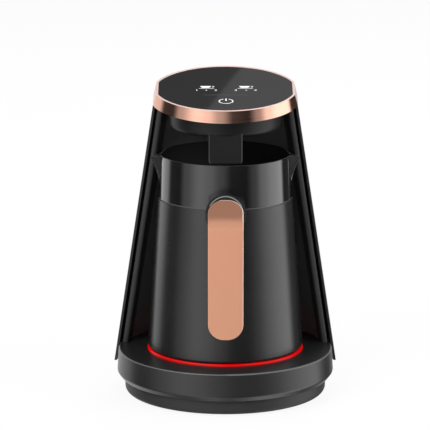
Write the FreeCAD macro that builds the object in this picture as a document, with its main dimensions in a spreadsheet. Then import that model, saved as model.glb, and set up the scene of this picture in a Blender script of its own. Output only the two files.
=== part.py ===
"""Electric Turkish coffee maker with a lift-out pot, millimetres.

+Z is up, the handle points along -Y, and the origin lies on the upright axis at table level.
"""
import FreeCAD
import Part
import math
import os
import Sketcher
from FreeCAD import Placement, Rotation, Vector

DRIVING = {
    # base
    "feet_proud": 0.8, "foot_radius": 7.0, "foot_margin": 16.4, "foot_sunk": 2.2, "foot_clearance": 0.1,
    "foot_wall": 1.6, "cover_setback": 6.1, "cover_wall": 2.0, "cover_top": 12.4, "cover_rounding": 4.0,
    "cover_gap": 0.2, "disc_turn": 4.4, "disc_side": 17.5, "disc_taper": 1.1, "disc_undercut": 3.4,
    "disc_wall": 2.2, "disc_edge_rounding": 1.2, "disc_low_rounding": 3.0, "shelf_width": 25.7,
    "plate_proud": 1.5, "plate_radius": 58.8, "plate_thickness": 2.6, "ring_wall": 1.7, "ring_clearance": 0.2,
    "ring_depth": 6.6, "ring_rounding": 0.6, "heater_margin": 18.8, "heater_section": 3.2, "pan_margin": 5.8,
    "pan_depth": 9.0, "pan_wall": 0.8, "pan_hole": 8.0, "pan_slope": 4.0, "sensor_radius": 5.0,
    "sensor_height": 5.5, "sensor_step": 2.0, "sensor_stem": 3.0, "spring_wire": 0.8, "spring_radius": 4.0,
    "bracket_foot": 15.0, "bracket_bar": 12.0, "bracket_sheet": 1.5, "bracket_post": 3.2, "bracket_ear": 30.0,
    "ear_width": 3.0, "fuse_radius": 2.2, "fuse_length": 12.0, "fuse_place": 20.0,
    "board_thickness": 1.6, "light_board_margin": 4.0, "light_board_inset": 3.0, "led_height": 1.2,
    "led_size": 3.0, "led_gap": 0.2, "hanger_radius": 1.8, "power_board_length": 74.0,
    "power_board_width": 46.0, "power_board_height": 7.0, "board_post_radius": 3.0, "board_post_margin": 5.0,
    "transformer_length": 16.0, "transformer_width": 14.0, "relay_length": 18.0, "relay_width": 10.0,
    "part_height": 6.0, "part_margin": 3.0, "capacitor_radius": 3.5, "connector_length": 8.0,
    "screw_radius": 1.6, "screw_head_radius": 3.0, "screw_head_height": 1.8, "screw_margin": 6.6,
    "base_screw_bite": 4.0, "screw_tip_gap": 0.6,
    "boss_radius": 3.6, "gland_height": 7.6, "gland_radius": 3.9, "gland_bore": 3.1, "gland_flange": 4.7,
    "gland_flange_thickness": 1.8,
    # tower
    "tower_front": 12.0, "tower_foot_lift": 3.2, "tower_gap": 1.7, "tower_head_drop": 18.2,
    "tower_head_gap": 0.6, "tower_skin": 2.0, "tower_edge": 0.5, "panel_inset_low": 8.7,
    "panel_inset_high": 8.1, "panel_wall": 2.0, "lip_width": 4.6, "lip_depth": 7.0, "lip_rounding": 1.8,
    "frame_wall": 1.4, "frame_half_width": 22.0, "frame_gap": 0.4, "frame_front": 40.0, "wire_radius": 1.1,
    "tower_screw_turn": 10.0, "tower_screw_low": 15.5, "tower_screw_high": 26.2,
    # head
    "bowl_depth": 31.6, "head_tilt": 8.2, "bezel_height": 9.5, "head_overhang": 5.1, "bezel_flare": 1.9,
    "bezel_side_cut": 2.1, "bezel_low_cut": 1.6, "bezel_rim": 1.8, "bezel_corner": 9.0, "bezel_edge": 0.5,
    "panel_drop": 0.3, "panel_thickness": 2.2, "panel_edge": 0.3, "fit": 0.15, "carrier_thickness": 2.0,
    "touch_board_margin": 5.6, "touch_board_drop": 6.2, "touch_pad_side": 22.0, "touch_pad_back": 8.0,
    "touch_pad_front": 26.0, "touch_window": 7.0, "touch_spring_radius": 3.4, "touch_spring_wire": 0.8,
    "carrier_post": 3.0, "head_screw_margin": 4.0, "head_screw_length": 4.2, "stud_radius": 2.4,
    "buzzer_radius": 6.0, "buzzer_height": 5.0, "buzzer_side": 20.0, "buzzer_back": 12.0,
    "floor_thickness": 2.0, "bowl_margin": 11.8, "bowl_draft": 1.0, "bowl_rounding": 5.0, "bowl_wall": 2.0,
    "nose_clearance": 0.6, "nose_length": 19.1, "nose_half_width": 12.8, "nose_setback": 1.8,
    "nose_slope": 6.8, "nose_depth": 16.8, "nose_wall": 1.8, "nose_rounding": 2.6, "nose_edge": 1.0,
    "nose_root": 4.4, "window_thickness": 1.2, "nose_room_height": 9.0, "eye_radius": 2.4, "eye_side": 4.5,
    # pot
    "pot_lift": 0.25, "pot_plate_margin": 9.5, "pot_plate_thickness": 2.2, "sleeve_lift": 1.0,
    "sleeve_overhang": 1.7, "sleeve_height": 117.7, "sleeve_taper": 8.3, "sleeve_wall": 1.8, "sleeve_gap": 1.0,
    "sleeve_edge": 1.2, "band_step": 0.5, "band_height": 34.2, "band_taper": 1.4, "vessel_wall": 1.2,
    "gasket": 1.0, "gasket_inset": 0.7, "spout_reach": 9.2, "spout_root": 11.3, "spout_half_width": 17.5,
    "spout_root_half": 3.0, "spout_hollow": 2.2,
    "spout_belly": 0.38, "spout_depth": 12.0, "spout_drop": 3.2, "spout_tip_radius": 1.6,
    # handle
    "handle_gap": 28.0, "handle_foot": 25.7, "handle_bend_drop": 1.2, "handle_rise": 12.9,
    "handle_lean": 16.0, "plate_half_width": 13.3, "plate_skin": 1.8, "plate_corner": 12.0,
    "top_corner": 12.0, "cover_edge": 0.5, "core_gap": 0.05, "core_inset": 0.9, "core_depth": 8.5,
    "arm_half_width": 15.3, "arm_over": 7.0, "arm_rise": 15.6, "arm_drop": 4.2, "arm_root": 4.7,
    "arm_crown": 13.0, "arm_under": 4.0, "bend_rounding": 14.0, "bracket_thickness": 1.4,
    "bracket_half_width": 9.0, "bracket_height": 10.0, "bracket_rise": 3.3, "bracket_stand": 3.6,
    "handle_screw_rise": 8.3, "handle_screw_side": 5.0, "handle_screw_seat": 14.3,
    "handle_screw_length": 10.5, "slip": 0.05,
}


class Size:
    """A number together with the sheet expression that it comes from."""

    def __init__(self, number, text):
        self.number = number
        self.text = text

    def __add__(self, other):
        other = as_size(other)
        return Size(self.number + other.number, f"({self.text} + {other.text})")

    def __sub__(self, other):
        other = as_size(other)
        return Size(self.number - other.number, f"({self.text} - {other.text})")

    def __mul__(self, other):
        other = as_size(other)
        return Size(self.number * other.number, f"({self.text} * {other.text})")

    def __truediv__(self, other):
        other = as_size(other)
        return Size(self.number / other.number, f"({self.text} / {other.text})")

    def __radd__(self, other):
        return as_size(other) + self

    def __rsub__(self, other):
        return as_size(other) - self

    def __rmul__(self, other):
        return as_size(other) * self

    def __neg__(self):
        return Size(-self.number, f"(-1 * {self.text})")

    def __float__(self):
        return float(self.number)


def as_size(value):
    return value if isinstance(value, Size) else Size(float(value), str(float(value)))


def tangent(angle):
    return Size(math.tan(math.radians(float(angle))), f"tan({angle.text})")


def root(size):
    return Size(math.sqrt(float(size)), f"sqrt({size.text})")


def cosine(angle):
    return Size(math.cos(math.radians(float(angle))), f"cos({angle.text})")


doc = FreeCAD.newDocument("CoffeeMaker")
sheet = doc.addObject("Spreadsheet::Sheet", "Sizes")
S = {}
for row, (alias, number) in enumerate(DRIVING.items(), start=1):
    sheet.set(f"A{row}", alias)
    sheet.set(f"B{row}", str(number))
    sheet.setAlias(f"B{row}", alias)
    S[alias] = Size(number, f"Sizes.{alias}")
doc.recompute()

# Sizes that follow from others, so that what seats, fits or lines up keeps doing so

S["disc_low_radius"] = S["plate_radius"] + S["shelf_width"]
S["disc_top_radius"] = S["disc_low_radius"] - S["disc_taper"]
S["disc_under"] = S["cover_top"] + S["cover_gap"]
S["disc_low"] = S["disc_under"] + S["disc_turn"]
S["disc_top"] = S["disc_low"] + S["disc_side"]
S["cover_radius"] = S["disc_low_radius"] - S["cover_setback"]
S["foot_circle"] = S["cover_radius"] - S["foot_margin"]
S["base_screw_circle"] = S["cover_radius"] - S["screw_margin"]
S["plate_top"] = S["disc_top"] + S["plate_proud"]
S["ring_foot"] = S["plate_top"] - S["ring_depth"]
S["heater_circle"] = S["plate_radius"] - S["heater_margin"]
S["pan_radius"] = S["plate_radius"] - S["pan_margin"]
S["sleeve_foot"] = S["plate_top"] + S["sleeve_lift"]
S["sleeve_foot_radius"] = S["plate_radius"] + S["sleeve_overhang"]
S["pot_plate_radius"] = S["sleeve_foot_radius"] - S["pot_plate_margin"]
S["sleeve_top"] = S["sleeve_foot"] + S["sleeve_height"]
S["sleeve_top_radius"] = S["sleeve_foot_radius"] - S["sleeve_taper"]
S["band_low_radius"] = S["sleeve_top_radius"] - S["band_step"]
S["rim_radius"] = S["band_low_radius"] - S["band_taper"]
S["rim_height"] = S["sleeve_top"] + S["band_height"]
S["spout_tip"] = S["rim_radius"] + S["spout_reach"]
S["spout_root_height"] = S["sleeve_top"] + S["spout_root"]
S["nose_bottom"] = S["rim_height"] + S["nose_clearance"]
S["bowl_bottom"] = S["nose_bottom"] + S["nose_length"]
S["nose_roof"] = S["bowl_bottom"] + S["nose_root"]
S["head_height"] = S["bowl_bottom"] + S["bowl_depth"]
S["bezel_top_radius"] = S["rim_radius"] + S["head_overhang"]
S["bezel_low_radius"] = S["bezel_top_radius"] + S["bezel_flare"]
S["bezel_top_side"] = S["bezel_top_radius"] - S["bezel_side_cut"]
S["bezel_low_side"] = S["bezel_low_radius"] - S["bezel_low_cut"]
S["bowl_radius"] = S["bezel_top_radius"] - S["bowl_margin"]
S["bowl_low_radius"] = S["bowl_radius"] - S["bowl_draft"]
S["touch_board_radius"] = S["bowl_radius"] - S["touch_board_margin"]
S["nose_front_high"] = S["bowl_low_radius"] - S["nose_setback"]
S["nose_front_low"] = S["nose_front_high"] + S["nose_slope"]
S["nose_back"] = S["nose_front_high"] - S["nose_depth"]
S["tower_foot"] = S["disc_low"] + S["tower_foot_lift"]
S["tower_foot_radius"] = S["disc_low_radius"] + S["tower_gap"] + S["tower_skin"]
S["tower_head_height"] = S["head_height"] - S["tower_head_drop"]
S["tower_head_radius"] = S["bezel_low_radius"] + S["tower_head_gap"]
S["handle_reach"] = S["sleeve_foot_radius"] + S["handle_gap"]
S["handle_low"] = S["sleeve_foot"] + S["handle_foot"]
S["handle_bend"] = S["sleeve_top"] - S["handle_bend_drop"]
S["handle_top"] = S["sleeve_top"] + S["handle_rise"]
S["handle_top_reach"] = S["handle_reach"] - S["handle_lean"]
S["arm_reach"] = S["handle_top_reach"] + S["arm_over"]
S["arm_top"] = S["sleeve_top"] + S["arm_rise"]
S["arm_low"] = S["sleeve_top"] - S["arm_drop"]


def bind(thing, path, size):
    """Give a property its size and tie it to the sheet."""
    size = as_size(size)
    if "." not in path:
        setattr(thing, path, float(size))
    if "Sizes." in size.text:
        thing.setExpression(path, size.text)


def put(thing, across=0, deep=0, high=0, turn=None):
    """Place a piece; turn is an (axis, angle) pair."""
    if turn:
        thing.Placement = Placement(Vector(0, 0, 0), Rotation(turn[0], float(turn[1])))
    thing.Placement.Base = Vector(float(across), float(deep), float(high))
    for axis, size in (("x", across), ("y", deep), ("z", high)):
        bind(thing, f"Placement.Base.{axis}", size)
    return thing


PIECES = []


def keep(label, thing):
    """Name a finished piece of the product."""
    thing.Label = label
    PIECES.append(thing)
    return thing


# Sketches and turned pieces


def body(label):
    return doc.addObject("PartDesign::Body", label)


def sketch_on(made, role, name, lift=None):
    sketch = made.newObject("Sketcher::SketchObject", f"{made.Name}_{name}")
    plane = next(feature for feature in made.Origin.OriginFeatures if feature.Role == role)
    sketch.AttachmentSupport = [(plane, "")]
    sketch.MapMode = "FlatFace"
    if lift is not None:
        sketch.AttachmentOffset = Placement(Vector(0, 0, float(lift)), Rotation())
        sketch.setExpression("AttachmentOffset.Base.z", as_size(lift).text)
    return sketch


def pin(sketch, kind, refs, size):
    """Add a driving constraint and tie it to the sheet."""
    size = as_size(size)
    index = sketch.addConstraint(Sketcher.Constraint(kind, *refs, float(size)))
    if "Sizes." in size.text:
        sketch.setExpression(f"Constraints[{index}]", size.text)


def outline(sketch, points):
    """A closed chain of straight lines through (across, up) points held to the origin."""
    first = sketch.GeometryCount
    count = len(points)
    for i in range(count):
        start = Vector(float(points[i][0]), float(points[i][1]), 0)
        end = Vector(float(points[(i + 1) % count][0]), float(points[(i + 1) % count][1]), 0)
        sketch.addGeometry(Part.LineSegment(start, end), False)
    for i in range(count):
        sketch.addConstraint(Sketcher.Constraint("Coincident", first + i, 2, first + (i + 1) % count, 1))
    for i, (across, up) in enumerate(points):
        pin(sketch, "DistanceX", (-1, 1, first + i, 1), across)
        pin(sketch, "DistanceY", (-1, 1, first + i, 1), up)


def circle(sketch, across, up, radius):
    index = sketch.addGeometry(Part.Circle(Vector(float(across), float(up), 0), Vector(0, 0, 1), float(radius)))
    pin(sketch, "DistanceX", (-1, 1, index, 3), across)
    pin(sketch, "DistanceY", (-1, 1, index, 3), up)
    pin(sketch, "Radius", (index,), radius)


def turned(label, points):
    """A body turned about the upright axis from (radius, height) points."""
    made = body(label)
    sketch = sketch_on(made, "XZ_Plane", "profile")
    outline(sketch, points)
    turn = made.newObject("PartDesign::Revolution", f"{label}_turn")
    turn.Profile = sketch
    turn.ReferenceAxis = (sketch, ["V_Axis"])
    turn.Angle = 360
    doc.recompute()
    return made


def padded(label, role, draw, length, both=False, lift=None, name="pad", back=False):
    """A body, or another pad on one, from a sketch that draw fills."""
    made = body(label) if isinstance(label, str) else label
    sketch = sketch_on(made, role, name, lift)
    draw(sketch)
    pad = made.newObject("PartDesign::Pad", f"{made.Name}_{name}_solid")
    pad.Profile = sketch
    bind(pad, "Length", length)
    pad.Midplane = both
    pad.Reversed = back
    doc.recompute()
    return made


def pocket(made, role, draw, length=None, both=False, lift=None, name="cut", back=False):
    """Cut a sketch out of a body, and check that it took something away."""
    before = made.Tip.Shape.Volume
    sketch = sketch_on(made, role, name, lift)
    draw(sketch)
    hole = made.newObject("PartDesign::Pocket", f"{made.Name}_{name}_cut")
    hole.Profile = sketch
    if length is None:
        hole.Type = "ThroughAll"
    else:
        bind(hole, "Length", length)
    hole.Midplane = both
    hole.Reversed = back
    doc.recompute()
    if not 0 < made.Tip.Shape.Volume < before - 0.01:
        raise RuntimeError(f"{made.Name}: {name} cuts nothing")
    return hole


def soften(made, radius, chosen, name="rounding"):
    """Round the edges of a body that chosen picks."""
    tip = made.Tip
    names = [f"Edge{i + 1}" for i, edge in enumerate(tip.Shape.Edges) if chosen(edge)]
    if not names:
        raise RuntimeError(f"{made.Name}: no edge for {name}")
    rounding = made.newObject("PartDesign::Fillet", f"{made.Name}_{name}")
    rounding.Base = (tip, names)
    bind(rounding, "Radius", radius)
    doc.recompute()


def ring_edge(*corners):
    """Picks the circles at (radius, height) corners."""
    def chosen(edge):
        if edge.Curve.TypeId != "Part::GeomCircle":
            return False
        return any(abs(edge.Curve.Radius - float(r)) < 0.01 and abs(edge.Curve.Center.z - float(z)) < 0.01
                   for r, z in corners)
    return chosen


def straight_edge(direction, where):
    """Picks straight edges along a direction whose middle passes the test where."""
    def chosen(edge):
        if edge.Curve.TypeId != "Part::GeomLine":
            return False
        middle = edge.valueAt((edge.FirstParameter + edge.LastParameter) / 2)
        return abs(edge.tangentAt(edge.FirstParameter).dot(direction)) > 0.999 and where(middle)
    return chosen


def on_height(height, least=0.0):
    """Picks edges that lie flat at a height and are longer than the least length."""
    def chosen(edge):
        box = edge.BoundBox
        return (abs(box.ZMin - float(height)) < 0.01 and abs(box.ZMax - float(height)) < 0.01
                and edge.Length > float(least))
    return chosen


def primitive(kind, name, **sizes):
    made = doc.addObject(f"Part::{kind}", name)
    for prop, size in sizes.items():
        bind(made, prop, size)
    return made


def joined(name, parts):
    made = doc.addObject("Part::MultiFuse", name)
    made.Shapes = parts
    return made


def less(name, base, tool):
    made = doc.addObject("Part::Cut", name)
    made.Base = base
    made.Tool = tool
    return made


def shared(name, first, second):
    made = doc.addObject("Part::MultiCommon", name)
    made.Shapes = [first, second]
    return made


def compound(label, parts):
    made = doc.addObject("Part::Compound", label)
    made.Links = parts
    return made


def grouped(label, parts):
    return keep(label, compound(label, parts))


def screw(name, length):
    """A pan-head screw whose shank runs up from the underside of its head."""
    head = primitive("Cylinder", f"{name}_head", Radius=S["screw_head_radius"], Height=S["screw_head_height"])
    shank = primitive("Cylinder", f"{name}_shank", Radius=S["screw_radius"], Height=length)
    put(shank, high=S["screw_head_height"])
    return joined(name, [head, shank])


def spots(circle_radius, angles):
    """Places on a circle as (across, deep) sizes."""
    turns = [math.radians(angle) for angle in angles]
    return [(circle_radius * round(math.cos(turn), 9), circle_radius * round(math.sin(turn), 9)) for turn in turns]


def between(low, high, low_radius, high_radius, height):
    """The radius of a straight taper at a height."""
    return low_radius + (high_radius - low_radius) * (height - low) / (high - low)


# Lower cover: a shallow dish with sockets for the feet and holes for the screws

cover_floor = S["feet_proud"]
cover_inner = S["cover_radius"] - S["cover_wall"]
bottom_cover = turned("bottom_cover", [
    (0, cover_floor), (S["cover_radius"], cover_floor), (S["cover_radius"], S["cover_top"]),
    (cover_inner, S["cover_top"]), (cover_inner, cover_floor + S["cover_wall"]),
    (0, cover_floor + S["cover_wall"])])
soften(bottom_cover, S["cover_rounding"], ring_edge((S["cover_radius"], cover_floor)))

base_spots = spots(S["base_screw_circle"], (15, 165, 195, 345))
foot_spots = spots(S["foot_circle"], (45, 135, 225, 315))
boss_top = S["cover_top"] - S["cover_gap"]
foot_pad_top = cover_floor + S["foot_sunk"] + 1.2


def draw_foot_pads(sketch):
    for across, deep in foot_spots:
        circle(sketch, across, deep, S["foot_radius"] + S["foot_wall"])


padded(bottom_cover, "XY_Plane", draw_foot_pads, foot_pad_top - cover_floor - 0.4, lift=cover_floor + 0.4,
       name="foot_pads")


def draw_screw_towers(sketch):
    for across, deep in base_spots:
        circle(sketch, across, deep, S["boss_radius"])


padded(bottom_cover, "XY_Plane", draw_screw_towers, boss_top - cover_floor - 0.4, lift=cover_floor + 0.4,
       name="screw_towers")


bracket_foot = S["bracket_foot"]
bracket_reach = S["pan_radius"] + 1.0


def draw_bracket_posts(sketch):
    for side in (-1, 1):
        circle(sketch, side * bracket_reach, 0, S["bracket_post"])


padded(bottom_cover, "XY_Plane", draw_bracket_posts, bracket_foot - cover_floor - 0.5, lift=cover_floor + 0.4,
       name="bracket_posts")


def draw_feet(sketch):
    for across, deep in foot_spots:
        circle(sketch, across, deep, S["foot_radius"] + S["foot_clearance"])


pocket(bottom_cover, "XY_Plane", draw_feet, S["foot_sunk"] + S["feet_proud"], name="foot_sockets", back=True)


def draw_screw_holes(sketch):
    for across, deep in base_spots:
        circle(sketch, across, deep, S["screw_radius"] + S["foot_clearance"])


pocket(bottom_cover, "XY_Plane", draw_screw_holes, S["cover_top"] + 1, name="screw_holes", back=True)


def draw_screw_wells(sketch):
    for across, deep in base_spots:
        circle(sketch, across, deep, S["screw_head_radius"] + S["foot_clearance"])


base_screw_floor = cover_floor + S["cover_wall"] + 2.0
pocket(bottom_cover, "XY_Plane", draw_screw_wells, base_screw_floor + S["screw_head_height"], name="screw_wells",
       back=True)


def draw_gland_hole(sketch):
    circle(sketch, 0, S["gland_height"], S["gland_radius"] + S["foot_clearance"])


pocket(bottom_cover, "XZ_Plane", draw_gland_hole, S["cover_radius"] + 1, name="gland_hole")
keep("bottom_cover", bottom_cover)

feet = []
for i, (across, deep) in enumerate(foot_spots):
    foot = primitive("Cylinder", f"foot_{i}", Radius=S["foot_radius"],
                     Height=S["feet_proud"] + S["foot_sunk"])
    feet.append(put(foot, across, deep, 0))
grouped("rubber_feet", feet)

gland_tube = primitive("Cylinder", "gland_tube", Radius=S["gland_radius"],
                       Height=S["cover_wall"] + S["gland_flange_thickness"] * 2)
gland_plate = primitive("Cylinder", "gland_plate", Radius=S["gland_flange"], Height=S["gland_flange_thickness"])
gland_way = primitive("Cylinder", "gland_way", Radius=S["gland_bore"],
                      Height=S["cover_wall"] + S["gland_flange_thickness"] * 2 + 2)
put(gland_way, high=-1)
inner_flange = primitive("Cylinder", "gland_nut", Radius=S["gland_flange"], Height=S["gland_flange_thickness"])
put(inner_flange, high=S["gland_flange_thickness"] + S["cover_wall"] + 0.6)
cord_gland = less("cord_gland", joined("gland_body", [gland_tube, gland_plate, inner_flange]), gland_way)
put(cord_gland, 0, S["cover_radius"] + S["gland_flange_thickness"] + 0.05, S["gland_height"],
    turn=(Vector(1, 0, 0), 90))
keep("cord_gland", cord_gland)

# Base housing: the round disc, open below, with a seat for the light ring and bosses for the screws

ring_outer = S["plate_radius"] + S["ring_clearance"] + S["ring_wall"]
disc_hole = ring_outer + S["fit"]
disc_inner_low = S["disc_low_radius"] - S["disc_wall"]
disc_inner_top = S["disc_top_radius"] - S["disc_wall"]
lip_radius = S["cover_radius"] - S["cover_wall"] - S["fit"]
base_housing = turned("base_housing", [
    (disc_hole, S["disc_top"]), (S["disc_top_radius"], S["disc_top"]), (S["disc_low_radius"], S["disc_low"]),
    (S["disc_low_radius"] - S["disc_undercut"], S["disc_under"]), (lip_radius - 1.6, S["disc_under"]),
    (lip_radius - 1.6, S["disc_under"] + S["disc_wall"]), (disc_inner_low - 1.4, S["disc_under"] + S["disc_wall"]),
    (disc_inner_low, S["disc_low"] + 1.0), (disc_inner_top, S["disc_top"] - S["disc_wall"]),
    (disc_hole, S["disc_top"] - S["disc_wall"])])
soften(base_housing, S["disc_edge_rounding"], ring_edge((S["disc_top_radius"], S["disc_top"])), "top_rounding")
soften(base_housing, S["disc_low_rounding"], ring_edge((S["disc_low_radius"], S["disc_low"])), "low_rounding")


def draw_post_lugs(sketch):
    for across, deep in base_spots:
        circle(sketch, across, deep, S["boss_radius"])


post_foot = S["cover_top"]
light_board_outer = ring_outer + S["light_board_margin"]
board_post_circle = light_board_outer - S["hanger_radius"] - S["led_gap"]
light_board_top = S["ring_foot"] - S["led_height"] - S["led_gap"]


def draw_board_hangers(sketch):
    for across, deep in spots(board_post_circle, (0, 90, 180, 270)):
        circle(sketch, across, deep, S["hanger_radius"])


padded(base_housing, "XY_Plane", draw_board_hangers, S["disc_top"] - S["disc_wall"] / 2 - light_board_top,
       lift=light_board_top, name="board_hangers")
padded(base_housing, "XY_Plane", draw_post_lugs, S["disc_top"] - S["disc_wall"] / 2 - post_foot, lift=post_foot,
       name="posts")
base_screw_length = S["disc_under"] - base_screw_floor + S["base_screw_bite"]
pocket(base_housing, "XY_Plane", draw_screw_holes,
       base_screw_floor + S["screw_head_height"] + base_screw_length + S["screw_tip_gap"], name="screw_holes",
       back=True)
keep("base_housing", base_housing)

screws = []
for i, (across, deep) in enumerate(base_spots):
    screws.append(put(screw(f"base_screw_{i}", base_screw_length), across, deep,
                      base_screw_floor))
grouped("base_screws", screws)

# Hot plate, light ring, heater and its pan

hot_plate = turned("hot_plate", [
    (0, S["plate_top"]), (S["plate_radius"], S["plate_top"]), (S["plate_radius"], S["plate_top"] - S["plate_thickness"]),
    (0, S["plate_top"] - S["plate_thickness"])])
keep("hot_plate", hot_plate)

ring_inner = S["plate_radius"] + S["ring_clearance"]
light_ring = turned("light_ring", [
    (ring_inner, S["ring_foot"]), (ring_outer, S["ring_foot"]), (ring_outer, S["plate_top"]),
    (ring_inner, S["plate_top"])])
soften(light_ring, S["ring_rounding"], ring_edge((ring_outer, S["plate_top"])))
keep("light_ring", light_ring)

plate_under = S["plate_top"] - S["plate_thickness"]
heater_radius = S["heater_section"]
heating_element = primitive("Torus", "heater_ring", Radius1=S["heater_circle"], Radius2=heater_radius)
heating_element.Angle3 = 330
put(heating_element, high=plate_under - heater_radius - 0.1, turn=(Vector(0, 0, 1), 105))
keep("heating_element", heating_element)

pan_rim = plate_under - 0.2
pan_floor = pan_rim - S["pan_depth"]
reflector_pan = turned("reflector_pan", [
    (S["pan_hole"], pan_floor), (S["pan_radius"] - S["pan_slope"], pan_floor),
    (S["pan_radius"], pan_floor + S["pan_slope"]),
    (S["pan_radius"], pan_rim - S["pan_wall"]), (S["plate_radius"] - 0.5, pan_rim - S["pan_wall"]),
    (S["plate_radius"] - 0.5, pan_rim), (S["pan_radius"] - S["pan_wall"], pan_rim),
    (S["pan_radius"] - S["pan_wall"], pan_floor + S["pan_slope"] + S["pan_wall"] / 2),
    (S["pan_radius"] - S["pan_slope"] - S["pan_wall"] / 2, pan_floor + S["pan_wall"]),
    (S["pan_hole"], pan_floor + S["pan_wall"])])
keep("reflector_pan", reflector_pan)

sensor_top = plate_under - 0.1
sensor_foot = sensor_top - S["sensor_height"]
heat_sensor = turned("heat_sensor", [
    (0, sensor_top), (S["sensor_radius"], sensor_top), (S["sensor_radius"], sensor_foot),
    (S["sensor_radius"] - S["sensor_step"], sensor_foot),
    (S["sensor_radius"] - S["sensor_step"], sensor_foot - S["sensor_stem"]), (0, sensor_foot - S["sensor_stem"])])
keep("heat_sensor", heat_sensor)


def arc_from(start, corner, end):
    """The arc that leaves start towards corner and reaches end, its tangents being equally long."""
    middle = (start + end) / 2
    half_chord = (end - start).Length / 2
    height = (corner - middle).Length
    sag = half_chord * math.tan(math.atan2(height, half_chord) / 2)
    return Part.Arc(start, middle + (corner - middle) / height * sag, end).toShape()


def coil(radius, wire, foot, top, turns):
    """An open spring of round wire on arcs along a helix, two arcs to each quarter turn."""
    radius, wire = float(radius), float(wire)
    pitch = (float(top) - float(foot) - wire) / turns
    places = []
    for quarter in range(4 * turns + 1):
        angle = math.pi / 2 * quarter
        along = Vector(-math.sin(angle) * radius, math.cos(angle) * radius, pitch / (2 * math.pi))
        places.append((Vector(math.cos(angle) * radius, math.sin(angle) * radius, pitch * quarter / 4),
                       along / along.Length))
    arcs = []
    for (start, leave), (end, arrive) in zip(places, places[1:]):
        span = end - start
        both = leave + arrive
        bend = both.dot(both) - 4
        reach = (2 * span.dot(both) - math.sqrt(4 * span.dot(both) ** 2 - 4 * bend * span.dot(span))) / (2 * bend)
        first, last = start + leave * reach, end - arrive * reach
        meeting = (first + last) / 2
        arcs += [arc_from(start, first, meeting), arc_from(meeting, last, end)]
    section = Part.Wire(Part.Circle(places[0][0], places[0][1], wire / 2).toShape())
    return Part.Wire(arcs).makePipeShell([section], True, False)


sensor_spring = doc.addObject("Part::Feature", "sensor_spring")
spring_seat = bracket_foot + S["bracket_sheet"] + S["slip"]
sensor_spring.Shape = coil(S["spring_radius"], S["spring_wire"], spring_seat, sensor_foot - S["slip"], 5)
put(sensor_spring, high=spring_seat + S["spring_wire"] / 2)
keep("sensor_spring", sensor_spring)

bracket_bar = put(primitive("Box", "bracket_bar", Length=2 * bracket_reach + 2 * S["bracket_post"],
                            Width=S["bracket_bar"], Height=S["bracket_sheet"]),
                  -1 * bracket_reach - S["bracket_post"], S["bracket_bar"] / -2, bracket_foot)
bracket_hole = put(primitive("Cylinder", "bracket_hole", Radius=S["bracket_sheet"], Height=3 * S["bracket_sheet"]),
                   0, 0, bracket_foot - S["bracket_sheet"])
ears = []
for side in (-1, 1):
    ear = primitive("Box", f"bracket_ear_{side + 1}", Length=S["ear_width"], Width=S["bracket_bar"],
                    Height=pan_floor - bracket_foot)
    ears.append(put(ear, side * S["bracket_ear"] - S["ear_width"] / 2, S["bracket_bar"] / -2, bracket_foot))
sensor_bracket = joined("sensor_bracket", [less("sensor_bracket_plate", bracket_bar, bracket_hole)] + ears)
keep("sensor_bracket", sensor_bracket)

thermal_fuse = primitive("Cylinder", "thermal_fuse", Radius=S["fuse_radius"], Height=S["fuse_length"])
put(thermal_fuse, S["fuse_place"] / 2 - 2, S["fuse_place"], plate_under - S["fuse_radius"] - S["led_gap"],
    turn=(Vector(0, 1, 0), 90))
keep("thermal_fuse", thermal_fuse)

# Light board under the ring, with its lamps

light_board_inner = ring_inner - S["light_board_inset"]
light_board = turned("light_board", [
    (light_board_inner, light_board_top), (light_board_outer, light_board_top),
    (light_board_outer, light_board_top - S["board_thickness"]),
    (light_board_inner, light_board_top - S["board_thickness"])])
keep("light_board", light_board)
lamps = []
lamp_circle = (ring_inner + ring_outer) / 2
for i, (across, deep) in enumerate(spots(lamp_circle, range(15, 375, 30))):
    lamp = primitive("Box", f"lamp_{i}", Length=S["led_size"], Width=S["led_size"], Height=S["led_height"])
    lamps.append(put(lamp, across - S["led_size"] / 2, deep - S["led_size"] / 2, light_board_top))
grouped("ring_lamps", lamps)

# Power board with its parts, on posts over the lower cover

board_foot = S["power_board_height"]
power_board = primitive("Box", "power_board", Length=S["power_board_length"], Width=S["power_board_width"],
                        Height=S["board_thickness"])
put(power_board, S["power_board_length"] / -2, S["power_board_width"] / -2, board_foot)
keep("power_board", power_board)
parts_floor = board_foot + S["board_thickness"]
board_side = S["power_board_length"] / 2 - S["part_margin"]
board_edge = S["power_board_width"] / 2 - S["part_margin"]
transformer = primitive("Box", "transformer", Length=S["transformer_length"], Width=S["transformer_width"],
                        Height=S["part_height"])
relay = primitive("Box", "relay", Length=S["relay_length"], Width=S["relay_width"], Height=S["part_height"])
capacitor = primitive("Cylinder", "capacitor", Radius=S["capacitor_radius"], Height=S["part_height"])
connector = primitive("Box", "connector", Length=S["connector_length"], Width=S["transformer_width"],
                      Height=S["part_height"])
board_parts = [
    put(transformer, -1 * board_side, -1 * board_edge, parts_floor),
    put(relay, S["relay_length"] / -2, board_edge - S["relay_width"], parts_floor),
    put(capacitor, board_side - 2 * S["capacitor_radius"], S["part_margin"] - board_edge, parts_floor),
    put(connector, board_side - S["connector_length"], S["part_margin"], parts_floor)]
grouped("power_parts", board_parts)
posts = []
floor_top = cover_floor + S["cover_wall"]
for i in range(4):
    across = (S["power_board_length"] / 2 - S["board_post_margin"]) * (1 if i % 2 else -1)
    deep = (S["power_board_width"] / 2 - S["board_post_margin"]) * (1 if i // 2 else -1)
    post = primitive("Cylinder", f"board_post_{i}", Radius=S["board_post_radius"], Height=board_foot - floor_top)
    posts.append(put(post, across, deep, floor_top))
grouped("board_posts", posts)

# Tower: an outer skin, an inner wall with a rounded lip, a frame and the harness between them

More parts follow.
